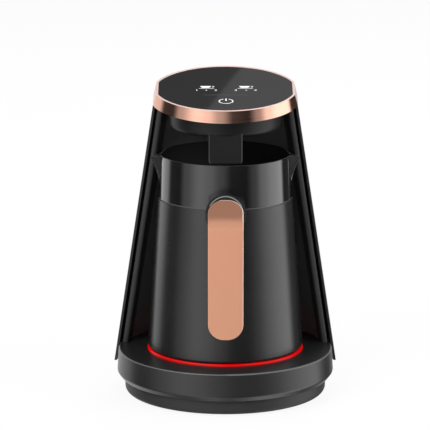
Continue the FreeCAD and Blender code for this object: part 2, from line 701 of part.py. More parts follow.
tilt_slope = tangent(S["head_tilt"])
head_drop = S["bezel_height"] / cosine(S["head_tilt"])
tower_reach = S["tower_foot_radius"] * 1.4
tower_peak = S["head_height"] * 1.25


def tower_radius(height, inset_low, inset_high):
    low = S["tower_foot_radius"] - inset_low
    high = S["tower_head_radius"] - inset_high
    return between(S["tower_foot"], S["tower_head_height"], low, high, height)


def tower_shell(label, outer_insets, inner_insets, foot):
    """A tapered shell round the upright axis, a little taller than the head allows."""
    peak = S["head_height"] + S["bezel_height"] * 1.25
    return turned(label, [
        (tower_radius(foot, *outer_insets), foot), (tower_radius(peak, *outer_insets), peak),
        (tower_radius(peak, *inner_insets), peak), (tower_radius(foot, *inner_insets), foot)])


def trim_tower(made, front, gap):
    """Cut the shell off in front of a plane and under the tilted head."""
    def draw_front(sketch):
        outline(sketch, [(-tower_reach, front), (tower_reach, front), (tower_reach, -tower_reach),
                         (-tower_reach, -tower_reach)])
    pocket(made, "XY_Plane", draw_front, tower_peak, name="front", back=True)

    def draw_top(sketch):
        seat = S["head_height"] - head_drop - gap
        outline(sketch, [(-tower_reach, seat - tilt_slope * tower_reach),
                         (tower_reach, seat + tilt_slope * tower_reach), (tower_reach, tower_peak),
                         (-tower_reach, tower_peak)])
    pocket(made, "YZ_Plane", draw_top, 2 * tower_reach, both=True, name="top")


skin_shell = tower_shell("skin_shell", (0, 0), (S["tower_skin"], S["tower_skin"]), S["tower_foot"])
trim_tower(skin_shell, S["tower_front"], 0)


def skin_front_edge(edge):
    """Picks the two outer edges of the skin's front faces."""
    middle = edge.valueAt((edge.FirstParameter + edge.LastParameter) / 2)
    front = float(S["tower_front"])
    far = float(tower_radius(as_size(middle.z), 0, 0)) ** 2 - front ** 2
    return abs(middle.y - front) < 0.01 and edge.Length > 100 and abs(middle.x ** 2 - far) < 40


soften(skin_shell, S["tower_edge"], skin_front_edge, "front_edges")

# Screws go from the frame into blind holes in the skin, square to it, so that the back stays clean
tower_rise = S["tower_head_height"] - S["tower_foot"]
tower_lean = (S["tower_foot_radius"] - S["tower_head_radius"]) / tower_rise
lean_angle = math.atan(float(tower_lean))
screw_stack = S["tower_skin"] + S["frame_gap"] + S["frame_wall"] + S["slip"]


def square_to_skin(thing, turn, high, inward):
    """Stand a piece on the tower's slope, its axis outwards, at a distance in from the outer face."""
    across, deep = math.sin(math.radians(turn)), math.cos(math.radians(turn))
    out = Vector(across * math.cos(lean_angle), deep * math.cos(lean_angle), math.sin(lean_angle))
    radius = tower_radius(high, 0, 0)
    thing.Placement = Placement(Vector(0, 0, 0), Rotation(Vector(0, 0, 1), out))
    bind(thing, "Placement.Base.x", radius * across - inward * out.x)
    bind(thing, "Placement.Base.y", radius * deep - inward * out.y)
    bind(thing, "Placement.Base.z", high - inward * out.z)
    return thing


tower_screws = []
tower_screw_ways = []
for i, high in enumerate((S["disc_top"] + S["tower_screw_low"], S["head_height"] - S["tower_screw_high"])):
    for side in (-1, 1):
        turn = side * float(S["tower_screw_turn"])
        way = primitive("Cylinder", f"tower_way_{i}_{side + 1}", Radius=S["screw_radius"] + S["foot_clearance"],
                        Height=2 * screw_stack)
        blind = 2 * screw_stack + S["screw_tip_gap"]
        tower_screw_ways.append(square_to_skin(way, turn, high, blind))
        tower_screw = screw(f"tower_screw_{i}_{side + 1}", screw_stack - 2 * S["screw_tip_gap"])
        tower_screws.append(square_to_skin(tower_screw, turn, high, screw_stack + S["screw_head_height"] + S["slip"]))
screw_ways_shape = compound("tower_screw_ways", tower_screw_ways)
tower_rear_cover = less("tower_rear_cover", skin_shell, screw_ways_shape)
keep("tower_rear_cover", tower_rear_cover)

panel_insets = (S["panel_inset_low"], S["panel_inset_high"])
back_insets = (S["panel_inset_low"] - S["panel_wall"], S["panel_inset_high"] - S["panel_wall"])
lip_insets = (S["panel_inset_low"] - S["lip_width"], S["panel_inset_high"] - S["lip_width"])
panel_foot = S["disc_top"] + 0.1
wall_part = tower_shell("panel_wall_part", back_insets, panel_insets, panel_foot)
trim_tower(wall_part, S["tower_front"] + S["lip_depth"] / 2, S["fit"])
lip_part = tower_shell("panel_lip_part", lip_insets, panel_insets, panel_foot)
trim_tower(lip_part, S["tower_front"], S["fit"])


def draw_behind_lip(sketch):
    behind = S["tower_front"] + S["lip_depth"]
    outline(sketch, [(-tower_reach, behind), (tower_reach, behind), (tower_reach, tower_reach),
                     (-tower_reach, tower_reach)])


pocket(lip_part, "XY_Plane", draw_behind_lip, tower_peak, name="behind", back=True)


def lip_front_edge(edge):
    middle = edge.valueAt((edge.FirstParameter + edge.LastParameter) / 2)
    return abs(middle.y - float(S["tower_front"])) < 0.01 and edge.Length > 100


soften(lip_part, S["lip_rounding"], lip_front_edge)
tower_front_panel = joined("tower_front_panel", [wall_part, lip_part])
keep("tower_front_panel", tower_front_panel)

frame_inset_low = S["tower_skin"] + S["frame_gap"]
tower_frame_shell = tower_shell("tower_frame_shell", (frame_inset_low, frame_inset_low),
                                (frame_inset_low + S["frame_wall"], frame_inset_low + S["frame_wall"]),
                                S["disc_top"] + 0.1)
trim_tower(tower_frame_shell, S["frame_front"], S["fit"])
frame_limit = put(primitive("Box", "frame_limit", Length=2 * S["frame_half_width"], Width=tower_reach,
                            Height=tower_peak), -1 * S["frame_half_width"], S["frame_front"] / 2, 0)
tower_frame = less("tower_frame", shared("frame_blank", tower_frame_shell, frame_limit), screw_ways_shape)
keep("tower_frame", tower_frame)
grouped("tower_screws", tower_screws)

wires = []
wire_low = S["disc_top"] + 0.4
wire_high = S["head_height"] - 2
wire_inset_low = S["tower_skin"] + S["wire_radius"] + 0.5
wire_side = 52.0
for i in range(3):
    angle = math.radians(wire_side + 4.2 * i)
    low_radius = tower_radius(wire_low, wire_inset_low + 0.9, wire_inset_low + 0.9)
    high_radius = tower_radius(wire_high - 8, wire_inset_low + 0.9, wire_inset_low + 0.9)
    start = Vector(float(low_radius) * math.cos(angle), float(low_radius) * math.sin(angle), float(wire_low))
    end = Vector(float(high_radius) * math.cos(angle), float(high_radius) * math.sin(angle),
                 float(wire_high) - 8)
    wire = primitive("Cylinder", f"wire_{i}", Radius=S["wire_radius"], Height=1)
    wire.Height = (end - start).Length
    wire.Placement = Placement(start, Rotation(Vector(0, 0, 1), end - start))
    wires.append(wire)
grouped("wire_harness", wires)

# Head: everything in it is drawn flat and then tilted to the front


def tilted(thing):
    thing.Placement = Placement(Vector(0, 0, float(S["head_height"])), Rotation(Vector(1, 0, 0), float(S["head_tilt"])))
    thing.setExpression("Placement.Base.z", S["head_height"].text)
    thing.setExpression("Placement.Rotation.Angle", S["head_tilt"].text)
    return thing


def draw_head(radius, side):
    """Fills a sketch with a circle trimmed straight at both sides."""
    def draw(sketch):
        r, w = float(radius), float(side)
        half = math.acos(w / r)
        origin, up = Vector(0, 0, 0), Vector(0, 0, 1)
        sketch.addGeometry(Part.ArcOfCircle(Part.Circle(origin, up, r), half, math.pi - half), False)
        sketch.addGeometry(Part.ArcOfCircle(Part.Circle(origin, up, r), math.pi + half, 2 * math.pi - half), False)
        rise = r * math.sin(half)
        sketch.addGeometry(Part.LineSegment(Vector(-w, rise, 0), Vector(-w, -rise, 0)), False)
        sketch.addGeometry(Part.LineSegment(Vector(w, -rise, 0), Vector(w, rise, 0)), False)
        for first, end, second, start in ((0, 2, 2, 1), (2, 2, 1, 1), (1, 2, 3, 1), (3, 2, 0, 1)):
            sketch.addConstraint(Sketcher.Constraint("Coincident", first, end, second, start))
        sketch.addConstraint(Sketcher.Constraint("Coincident", 0, 3, -1, 1))
        sketch.addConstraint(Sketcher.Constraint("Coincident", 1, 3, -1, 1))
        pin(sketch, "Radius", (0,), radius)
        pin(sketch, "Radius", (1,), radius)
        for line, place in ((2, -1), (3, 1)):
            sketch.addConstraint(Sketcher.Constraint("Vertical", line))
            pin(sketch, "DistanceX", (-1, 1, line, 1), place * side)
    return draw


def side_corner(edge):
    """Picks the upright corner edges where the arcs meet the straight sides."""
    middle = edge.valueAt((edge.FirstParameter + edge.LastParameter) / 2)
    ends = edge.valueAt(edge.FirstParameter).z - edge.valueAt(edge.LastParameter).z
    return abs(ends) > 1 and abs(middle.y) > 5


def head_slice(label, inset, low, thickness, corner):
    """A flat slice of the head's outline."""
    radius = S["bezel_top_radius"] - inset
    side = S["bezel_top_side"] - inset
    made = padded(label, "XY_Plane", draw_head(radius, side), thickness, lift=low)
    soften(made, corner, side_corner, "corners")
    return made


head_bezel = turned("head_bezel", [
    (0, -1 * S["bezel_height"]), (S["bezel_low_radius"], -1 * S["bezel_height"]), (S["bezel_top_radius"], 0), (0, 0)])


def draw_bezel_sides(sketch):
    for side in (-1, 1):
        outline(sketch, [(side * S["bezel_top_side"], 0), (side * S["bezel_low_side"], -1 * S["bezel_height"]),
                         (side * tower_reach, -1 * S["bezel_height"]), (side * tower_reach, 0)])


pocket(head_bezel, "XZ_Plane", draw_bezel_sides, 2 * tower_reach, both=True, name="sides")
soften(head_bezel, S["bezel_corner"], side_corner, "corners")
inner_radius = S["bezel_top_radius"] - S["bezel_rim"]
inner_side = S["bezel_top_side"] - S["bezel_rim"]
inner_corner = S["bezel_corner"] - S["bezel_rim"]
pocket(head_bezel, "XY_Plane", draw_head(inner_radius, inner_side), S["bezel_height"] + 1, name="inside")


def inside_corner(edge):
    middle = edge.valueAt((edge.FirstParameter + edge.LastParameter) / 2)
    return side_corner(edge) and abs(abs(middle.x) - float(inner_side)) < 0.05


soften(head_bezel, inner_corner, inside_corner, "inside_corners")
soften(head_bezel, S["bezel_edge"], on_height(0), "top_edges")
keep("head_bezel", tilted(head_bezel))

panel_inset = S["bezel_rim"] + S["fit"]
panel_corner = inner_corner - S["fit"]
panel_low = -1 * S["panel_drop"] - S["panel_thickness"]
touch_panel = head_slice("touch_panel", panel_inset, panel_low, S["panel_thickness"], panel_corner)
soften(touch_panel, S["panel_edge"], on_height(-1 * S["panel_drop"]), "top_edge")
keep("touch_panel", tilted(touch_panel))

carrier_low = panel_low - 0.1 - S["carrier_thickness"]
panel_carrier = head_slice("panel_carrier", panel_inset, carrier_low, S["carrier_thickness"], panel_corner)
touch_spots = ((-1 * S["touch_pad_side"], S["touch_pad_back"]), (S["touch_pad_side"], S["touch_pad_back"]),
               (0, -1 * S["touch_pad_front"]))


def draw_touch_windows(sketch):
    for across, deep in touch_spots:
        circle(sketch, across, deep, S["touch_window"])


pocket(panel_carrier, "XY_Plane", draw_touch_windows, S["carrier_thickness"] + 12, name="windows")
floor_low = -1 * S["bezel_height"]
floor_top = floor_low + S["floor_thickness"]
head_screw_spots = spots(S["bowl_radius"] + S["head_screw_margin"], (0, 180, 235, 305))
board_stud_spots = spots(S["touch_board_radius"] - S["head_screw_margin"], (60, 180, 300))


def draw_carrier_posts(sketch):
    for across, deep in head_screw_spots:
        circle(sketch, across, deep, S["carrier_post"])


def draw_board_studs(sketch):
    for across, deep in board_stud_spots:
        circle(sketch, across, deep, S["stud_radius"])


padded(panel_carrier, "XY_Plane", draw_carrier_posts, carrier_low + 0.5 - floor_top - 0.05, lift=floor_top + 0.05,
       name="posts")
padded(panel_carrier, "XY_Plane", draw_board_studs, carrier_low + 0.5 + S["touch_board_drop"] - 0.05,
       lift=0.05 - S["touch_board_drop"], name="board_studs")


def draw_head_holes(sketch):
    for across, deep in head_screw_spots:
        circle(sketch, across, deep, S["screw_radius"] + S["foot_clearance"])


pocket(panel_carrier, "XY_Plane", draw_head_holes, 5.5, lift=floor_low - 1, name="screw_holes", back=True)
keep("panel_carrier", tilted(panel_carrier))
head_screws = []
for i, (across, deep) in enumerate(head_screw_spots):
    head_screws.append(put(screw(f"head_screw_{i}", S["head_screw_length"]), across, deep, floor_low - S["screw_head_height"]))
keep("head_screws", tilted(compound("head_screws", head_screws)))

touch_board_low = -1 * S["touch_board_drop"] - S["board_thickness"]
touch_board = padded("touch_board", "XY_Plane", lambda sketch: circle(sketch, 0, 0, S["touch_board_radius"]),
                     S["board_thickness"], lift=touch_board_low)
keep("touch_board", tilted(touch_board))
springs = []
touch_spring_seat = 0.05 - S["touch_board_drop"]
for i, (across, deep) in enumerate(touch_spots):
    spring = doc.addObject("Part::Feature", f"touch_spring_{i}")
    spring.Shape = coil(S["touch_spring_radius"], S["touch_spring_wire"], touch_spring_seat, panel_low - S["slip"], 2)
    put(spring, across, deep, touch_spring_seat + S["touch_spring_wire"] / 2)
    springs.append(spring)
keep("touch_springs", tilted(compound("touch_springs", springs)))


def draw_buzzer(sketch):
    circle(sketch, S["buzzer_side"], S["buzzer_back"], S["buzzer_radius"])


buzzer = padded("buzzer", "XY_Plane", draw_buzzer, S["buzzer_height"],
                lift=touch_board_low - S["buzzer_height"] - S["slip"])
keep("buzzer", tilted(buzzer))

# Lower head: a tilted floor with the bowl hanging under it

floor_plate = head_slice("floor_plate", panel_inset, floor_low, S["floor_thickness"], panel_corner)
pocket(floor_plate, "XY_Plane", draw_head_holes, 4, lift=floor_low - 1, name="screw_holes", back=True)
tilted(floor_plate)
bowl_peak = S["head_height"]
bowl_blank = turned("bowl_blank", [
    (0, S["bowl_bottom"]), (S["bowl_low_radius"], S["bowl_bottom"]), (S["bowl_radius"], bowl_peak), (0, bowl_peak)])
soften(bowl_blank, S["bowl_rounding"], ring_edge((S["bowl_low_radius"], S["bowl_bottom"])))
grown_bowl = turned("grown_bowl", [
    (0, S["bowl_bottom"] - 0.05), (S["bowl_low_radius"], S["bowl_bottom"] - 0.05),
    (S["bowl_radius"], bowl_peak), (0, bowl_peak)])
soften(grown_bowl, S["bowl_rounding"], ring_edge((S["bowl_low_radius"], S["bowl_bottom"] - 0.05)))
hollow_low = S["bowl_bottom"] + S["bowl_wall"]
bowl_hollow = turned("bowl_hollow", [
    (0, hollow_low), (S["bowl_low_radius"] - S["bowl_wall"], hollow_low),
    (S["bowl_radius"] - S["bowl_wall"], bowl_peak + 20), (0, bowl_peak + 20)])
soften(bowl_hollow, S["bowl_rounding"] - S["bowl_wall"] / 2,
       ring_edge((S["bowl_low_radius"] - S["bowl_wall"], hollow_low)))
above_floor = padded("above_floor", "XY_Plane", lambda sketch: circle(sketch, 0, 0, 2 * S["bezel_low_radius"]),
                     S["bowl_depth"] * 2, lift=floor_low + S["floor_thickness"] / 2)
tilted(above_floor)
bowl_shell = less("bowl_shell", joined("floor_and_bowl", [floor_plate, less("bowl_under", bowl_blank, above_floor)]),
                  bowl_hollow)
keep("head_lower_housing", bowl_shell)

# Sensor nose under the bowl, with a foam sensor behind a small window


def draw_nose(sketch):
    outline(sketch, [(-1 * S["nose_front_high"], S["nose_roof"]), (-1 * S["nose_front_low"], S["nose_bottom"]),
                     (-1 * S["nose_back"], S["nose_bottom"]), (-1 * S["nose_back"], S["nose_roof"])])


nose = padded("nose_blank", "YZ_Plane", draw_nose, 2 * S["nose_half_width"], both=True)
soften(nose, S["nose_rounding"],
       straight_edge(Vector(0, 1, 0), lambda p: abs(p.z - float(S["nose_bottom"])) < 0.01), "low_corners")


def nose_front_edge(edge):
    """Picks the two slanted edges of the nose's front."""
    middle = edge.valueAt((edge.FirstParameter + edge.LastParameter) / 2)
    return (edge.Curve.TypeId == "Part::GeomLine" and abs(edge.tangentAt(edge.FirstParameter).z) > 0.5
            and middle.y < -1 * float(S["nose_front_high"]))


soften(nose, S["nose_edge"], nose_front_edge, "front_edges")


def draw_nose_room(inset):
    def draw(sketch):
        half = S["nose_half_width"] - S["nose_wall"] - 1.0 - inset
        front = -1 * S["nose_front_high"] + 0.2 + inset
        back = -1 * S["nose_back"] - S["nose_wall"] - inset
        outline(sketch, [(-1 * half, front), (half, front), (half, back), (-1 * half, back)])
    return draw


pocket(nose, "XY_Plane", draw_nose_room(0), S["nose_room_height"], lift=S["nose_bottom"], name="room", back=True)
nose_housing = less("nose_housing", nose, grown_bowl)
keep("nose_housing", nose_housing)
sensor_window = padded("sensor_window", "XY_Plane", draw_nose_room(S["fit"]), S["window_thickness"],
                       lift=S["nose_bottom"] + 0.1)
keep("sensor_window", sensor_window)
foam_board_low = S["nose_bottom"] + S["nose_room_height"] - S["board_thickness"] - S["slip"]
foam_board = padded("foam_sensor", "XY_Plane", draw_nose_room(0.5), S["board_thickness"], lift=foam_board_low)


def draw_foam_eyes(sketch):
    for side in (-1, 1):
        circle(sketch, side * S["eye_side"], (S["nose_front_high"] + S["nose_back"]) / -2 - S["eye_radius"],
               S["eye_radius"])


padded(foam_board, "XY_Plane", draw_foam_eyes, foam_board_low + 0.4 - S["nose_bottom"] - S["window_thickness"] - 0.2,
       lift=S["nose_bottom"] + S["window_thickness"] + 0.2, name="eyes")
keep("foam_sensor", foam_board)

# Pot: vessel with two spouts, sleeve, foot ring and base plate

pot_low = S["plate_top"] + S["pot_lift"]
vessel_low = pot_low + S["pot_plate_thickness"]


def sleeve_radius(height, inset=0):
    return between(S["sleeve_foot"], S["sleeve_top"], S["sleeve_foot_radius"] - inset,
                   S["sleeve_top_radius"] - inset, height)


def band_radius(height, inset=0):
    return between(S["sleeve_top"], S["rim_height"], S["band_low_radius"] - inset, S["rim_radius"] - inset, height)


vessel_inset = S["sleeve_wall"] + S["sleeve_gap"]
shoulder = S["sleeve_top"] + S["gasket"]
wall = S["vessel_wall"]
vessel_blank = turned("vessel_blank", [
    (0, vessel_low), (sleeve_radius(vessel_low, vessel_inset), vessel_low),
    (sleeve_radius(shoulder, vessel_inset), shoulder), (band_radius(shoulder), shoulder),
    (S["rim_radius"], S["rim_height"]), (0, S["rim_height"])])
vessel_room = turned("vessel_room", [
    (0, vessel_low + wall), (sleeve_radius(vessel_low + wall, vessel_inset + wall), vessel_low + wall),
    (sleeve_radius(shoulder - wall, vessel_inset + wall), shoulder - wall + 1),
    (band_radius(shoulder + wall, wall), shoulder + 2 * wall), (S["rim_radius"] - wall, S["rim_height"] + 5),
    (0, S["rim_height"] + 5)])


def spout_section(side, inset, height, flare, spread):
    """One level of a beak: hollow flanks that meet in a small round nose."""
    reach = float(band_radius(as_size(height)) + flare * S["spout_reach"]) - inset
    root_half = float(S["spout_root_half"])
    half = root_half + spread * (float(S["spout_half_width"]) - root_half) - inset * 0.9
    tip = float(S["spout_tip_radius"])
    back = float(S["rim_radius"] - S["spout_depth"])
    hollow = float(S["spout_hollow"]) * spread
    edges = []
    nose = [Vector(side * (reach - tip), tip * 0.9, height), Vector(side * (reach - tip), -tip * 0.9, height)]
    roots = [Vector(side * back, half, height), Vector(side * back, -half, height)]
    for root_point, nose_point in zip(roots, nose):
        middle = (root_point + nose_point) / 2
        across = Vector(0, -1 if root_point.y > 0 else 1, 0)
        edges.append(Part.Arc(root_point, middle + across * (hollow + 0.1), nose_point).toShape())
    edges.insert(1, Part.Arc(nose[0], Vector(side * reach, 0, height), nose[1]).toShape())
    edges.append(Part.LineSegment(roots[1], roots[0]).toShape())
    return Part.Wire(Part.__sortEdges__(edges))


def spout_solid(name, side, inset):
    """A beak that grows out of the wall towards its tip at the rim."""
    inset = float(inset)
    low = float(S["spout_root_height"]) + 2 * inset
    rim = float(S["rim_height"])
    over = 6.0 if inset else 0.0
    middle = low + (rim - low) * 0.5
    levels = [(low, 0.0, 0.0), (middle, float(S["spout_belly"]), 0.5), (rim + over, 1.0, 1.0)]
    sections = [spout_section(side, inset, height, flare, spread) for height, flare, spread in levels]
    made = doc.addObject("Part::Feature", name)
    made.Shape = Part.makeLoft(sections, True, False)
    return made


spouts_out = [spout_solid(f"spout_out_{i}", side, 0) for i, side in enumerate((-1, 1))]
spouts_in = [spout_solid(f"spout_in_{i}", side, wall) for i, side in enumerate((-1, 1))]
rim_trims = []
for i, side in enumerate((-1, 1)):
    start = float(S["rim_radius"]) - 5
    tip = float(S["spout_tip"])
    rim = float(S["rim_height"])
    fall = float(S["spout_drop"]) * (tip + 2 - start) / (tip - start)
    wedge_face = Part.Face(Part.makePolygon([
        Vector(side * start, -25, rim), Vector(side * (tip + 2), -25, rim - fall),
        Vector(side * (tip + 2), -25, rim + 1), Vector(side * start, -25, rim + 1),
        Vector(side * start, -25, rim)]))
    trim = doc.addObject("Part::Feature", f"rim_trim_{i}")
    trim.Shape = wedge_face.extrude(Vector(0, 50, 0))
    rim_trims.append(trim)
pot_vessel = less("pot_vessel", less("vessel_open", joined("vessel_full", [vessel_blank] + spouts_out),
                                     joined("vessel_space", [vessel_room] + spouts_in)),
                  joined("rim_trims", rim_trims))
keep("pot_vessel", pot_vessel)

pot_sleeve = turned("pot_sleeve", [
    (sleeve_radius(S["sleeve_foot"], S["sleeve_wall"]), S["sleeve_foot"]), (S["sleeve_foot_radius"], S["sleeve_foot"]),
    (S["sleeve_top_radius"], S["sleeve_top"]),
    (sleeve_radius(S["sleeve_top"], S["sleeve_wall"]), S["sleeve_top"])])
soften(pot_sleeve, S["sleeve_edge"], ring_edge((S["sleeve_foot_radius"], S["sleeve_foot"])))
keep("pot_sleeve", pot_sleeve)

vessel_gasket = turned("vessel_gasket", [
    (sleeve_radius(S["sleeve_top"], vessel_inset) + 0.05, S["sleeve_top"] + 0.05),
    (S["sleeve_top_radius"] - S["gasket_inset"], S["sleeve_top"] + 0.05),
    (S["sleeve_top_radius"] - S["gasket_inset"], shoulder - 0.05),
    (sleeve_radius(S["sleeve_top"], vessel_inset) + 0.05, shoulder - 0.05)])
keep("vessel_gasket", vessel_gasket)

pot_base_plate = turned("pot_base_plate", [
    (0, pot_low), (S["pot_plate_radius"], pot_low), (S["pot_plate_radius"], vessel_low), (0, vessel_low)])
keep("pot_base_plate", pot_base_plate)

ring_top = vessel_low - 0.05
pot_foot_ring = turned("pot_foot_ring", [
    (S["pot_plate_radius"] + 0.1, pot_low + 0.3), (sleeve_radius(S["sleeve_foot"], S["sleeve_wall"]) - 0.1, pot_low + 0.3),
    (sleeve_radius(ring_top, S["sleeve_wall"]) - 0.1, ring_top), (S["pot_plate_radius"] + 0.1, ring_top)])
keep("pot_foot_ring", pot_foot_ring)

# Handle: a black core with an arched arm, covered by a bent metal plate


def handle_line(offset):
    """Top, bend and foot of the handle's front, set back square to it by offset."""
    run = S["handle_reach"] - S["handle_top_reach"]
    rise = S["handle_top"] - S["handle_bend"]
    slant = root(run * run + rise * rise)
    return [(offset * rise / slant - S["handle_top_reach"], S["handle_top"] - offset * run / slant),
            (offset - S["handle_reach"], S["handle_bend"] + offset * (rise - slant) / run),
            (offset - S["handle_reach"], S["handle_low"])]


def bend_edge(offset):
    """Picks the bend of a handle piece whose front is set back by offset."""
    _, bend, _ = handle_line(offset)
    return straight_edge(Vector(1, 0, 0), lambda p: abs(p.y - float(bend[0])) < 0.01
                         and abs(p.z - float(bend[1])) < 0.01)


def draw_cover(sketch):
    outer = handle_line(0)
    inner = handle_line(S["plate_skin"])
    outline(sketch, outer + inner[::-1])


def draw_core_side(sketch):
    face = handle_line(S["cover_edge"] / 2)
    outline(sketch, [face[0], face[1], (face[2][0], S["handle_low"] - 1), (0, S["handle_low"] - 1),
                     (0, S["handle_top"] + S["bend_rounding"]), (face[0][0] + 1, S["handle_top"] + S["bend_rounding"])])


handle_cover = padded("handle_cover", "YZ_Plane", draw_cover, 2 * S["plate_half_width"], both=True)
low_corner = straight_edge(Vector(0, 1, 0), lambda p: p.z < float(S["handle_low"]) + 1)


def top_corner(edge):
    """Picks the two short edges at the top corners of the cover."""
    middle = edge.valueAt((edge.FirstParameter + edge.LastParameter) / 2)
    return edge.Length < float(S["plate_skin"]) * 1.2 and middle.z > float(S["handle_top"]) - 2


soften(handle_cover, S["plate_corner"], low_corner, "low_corners")
soften(handle_cover, S["top_corner"], top_corner, "top_corners")
soften(handle_cover, S["bend_rounding"], bend_edge(as_size(0)), "bend")
soften(handle_cover, S["bend_rounding"] - S["plate_skin"], bend_edge(S["plate_skin"]), "inner_bend")


def cover_rim(edge):
    """Picks the edges round the outer face of the cover."""
    if edge.Curve.TypeId == "Part::GeomLine" and abs(edge.tangentAt(edge.FirstParameter).x) > 0.999:
        middle = edge.valueAt((edge.FirstParameter + edge.LastParameter) / 2)
        at_end = middle.z < float(S["handle_low"]) + 0.01 or middle.z > float(S["handle_top"]) - 0.01
        return at_end and not inside_cover(middle)
    samples = [edge.valueAt(edge.FirstParameter + (edge.LastParameter - edge.FirstParameter) * share)
               for share in (0.25, 0.5, 0.75)]
    return not any(inside_cover(point) for point in samples)


def inside_cover(point):
    """Tells whether a point lies behind the outer face of the cover."""
    return bool(core_side.Shape.isInside(point, 0.01, True))


core_side = padded("core_side", "YZ_Plane", draw_core_side, 4 * S["plate_half_width"], both=True)
soften(core_side, S["bend_rounding"] - S["cover_edge"] / 2, bend_edge(S["cover_edge"] / 2), "bend")
soften(handle_cover, S["cover_edge"], cover_rim, "rim")
keep("handle_cover", handle_cover)


arm_start = S["band_low_radius"] - S["arm_root"]


def draw_core(sketch):
    front = handle_line(S["plate_skin"] + S["core_gap"])
    low = S["handle_low"] + S["core_inset"]
    back = -1 * S["handle_reach"] + S["plate_skin"] + S["core_depth"]
    outline(sketch, [front[0], front[1], (front[2][0], low), (back, low), (back, S["arm_low"]),
                     (-1 * arm_start, S["arm_low"]), (-1 * arm_start, S["handle_top"] - S["arm_under"] / 4)])


core_blank = padded("core_blank", "YZ_Plane", draw_core, 2 * (S["plate_half_width"] - S["core_inset"]), both=True)
soften(core_blank, S["bend_rounding"] - S["plate_skin"] - S["core_gap"],
       bend_edge(S["plate_skin"] + S["core_gap"]), "bend")
soften(core_blank, S["plate_corner"] - S["core_inset"],
       straight_edge(Vector(0, 1, 0), lambda p: p.z < float(S["handle_low"]) + 2), "low_corners")


def draw_arm(sketch):
    half = S["arm_half_width"]
    outline(sketch, [(-1 * half, S["arm_low"]), (half, S["arm_low"]), (half, S["arm_top"]),
                     (-1 * half, S["arm_top"])])


arm_blank = padded("arm_blank", "XZ_Plane", draw_arm, S["arm_reach"] - arm_start, lift=arm_start)
soften(arm_blank, S["arm_crown"], straight_edge(Vector(0, 1, 0), lambda p: p.z > float(S["arm_top"]) - 0.1),
       "crown")
soften(arm_blank, S["arm_under"], straight_edge(Vector(0, 1, 0), lambda p: p.z < float(S["arm_low"]) + 0.1), "under")


def draw_arm_front(sketch):
    top, bend, foot = handle_line(S["plate_skin"] + S["core_gap"])
    slope = (top[1] - bend[1]) / (top[0] - bend[0])
    rise = S["arm_over"]
    outline(sketch, [(top[0] + rise, top[1] + slope * rise), (bend[0] - rise, bend[1] - slope * rise),
                     (bend[0] - 3 * rise, bend[1] - slope * rise), (bend[0] - 3 * rise, top[1] + slope * rise)])


pocket(arm_blank, "YZ_Plane", draw_arm_front, 4 * S["arm_half_width"], both=True, name="front")
pot_shape = [turned("pot_low_shape", [
    (0, S["sleeve_foot"]), (S["sleeve_foot_radius"] + S["slip"], S["sleeve_foot"]),
    (S["sleeve_top_radius"] + S["slip"], S["sleeve_top"]), (0, S["sleeve_top"])]),
    turned("pot_high_shape", [
        (0, S["sleeve_top"]), (S["band_low_radius"] + 0.05, S["sleeve_top"]),
        (S["rim_radius"] + 0.05, S["rim_height"]), (0, S["rim_height"])])]
bracket_back = -1 * S["band_low_radius"] - S["bracket_stand"]
bracket_low = S["sleeve_top"] + S["bracket_rise"]
bracket_slot = put(primitive("Box", "bracket_slot", Length=2 * S["bracket_half_width"] + 0.2,
                             Width=S["bracket_thickness"] + 2 * S["slip"],
                             Height=S["bracket_height"] + 4 * S["slip"]),
                   -1 * S["bracket_half_width"] - 2 * S["slip"], bracket_back, bracket_low - 2 * S["slip"])
handle_bracket = put(primitive("Box", "handle_bracket", Length=2 * S["bracket_half_width"],
                               Width=S["bracket_thickness"], Height=S["bracket_height"]),
                     -1 * S["bracket_half_width"], bracket_back + S["slip"], bracket_low)
handle_screw_height = S["sleeve_top"] + S["handle_screw_rise"]
handle_screw_spots = [(side * S["handle_screw_side"], handle_screw_height) for side in (-1, 1)]
screw_seat = -1 * S["band_low_radius"] - S["handle_screw_seat"]
screw_ways = []
handle_screws = []
for i, (across, high) in enumerate(handle_screw_spots):
    way = primitive("Cylinder", f"handle_way_{i}", Radius=S["screw_radius"] + 2 * S["slip"],
                    Height=S["handle_screw_length"] + 1.5)
    screw_ways.append(put(way, across, bracket_back + 0.05, high, turn=(Vector(1, 0, 0), 90)))
    well = primitive("Cylinder", f"handle_well_{i}", Radius=S["screw_head_radius"] + 2 * S["slip"],
                     Height=S["handle_screw_length"] * 2)
    screw_ways.append(put(well, across, screw_seat, high, turn=(Vector(1, 0, 0), 90)))
    handle_screws.append(put(screw(f"handle_screw_{i}", S["handle_screw_length"]), across, screw_seat - S["screw_head_height"], high,
                             turn=(Vector(1, 0, 0), -90)))
handle_core = less("handle_core", joined("handle_blank", [core_blank, arm_blank]),
                   joined("handle_cuts", pot_shape + [bracket_slot] + screw_ways))
keep("handle_core", handle_core)
keep("handle_bracket", handle_bracket)
grouped("handle_screws", handle_screws)

# Check every object, then write the pieces

doc.recompute()
for thing in doc.Objects:
    if "Invalid" in thing.State or "Error" in thing.State:
        raise RuntimeError(f"{thing.Name} failed: {thing.State}")
os.makedirs("parts", exist_ok=True)
for piece in PIECES:
    shape = piece.Shape
    if shape.isNull() or not shape.isValid() or not shape.Solids:
        raise RuntimeError(f"{piece.Label} has no valid solid")
    shape.exportStep(f"parts/{piece.Label}.step")
    box = shape.optimalBoundingBox(False)
    print(f"{piece.Label:20s} solids {len(shape.Solids)} volume {shape.Volume:10.1f} "
          f"x {box.XMin:.1f}..{box.XMax:.1f} y {box.YMin:.1f}..{box.YMax:.1f} z {box.ZMin:.1f}..{box.ZMax:.1f}")
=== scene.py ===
import math
import bpy
from mathutils import Matrix, Vector


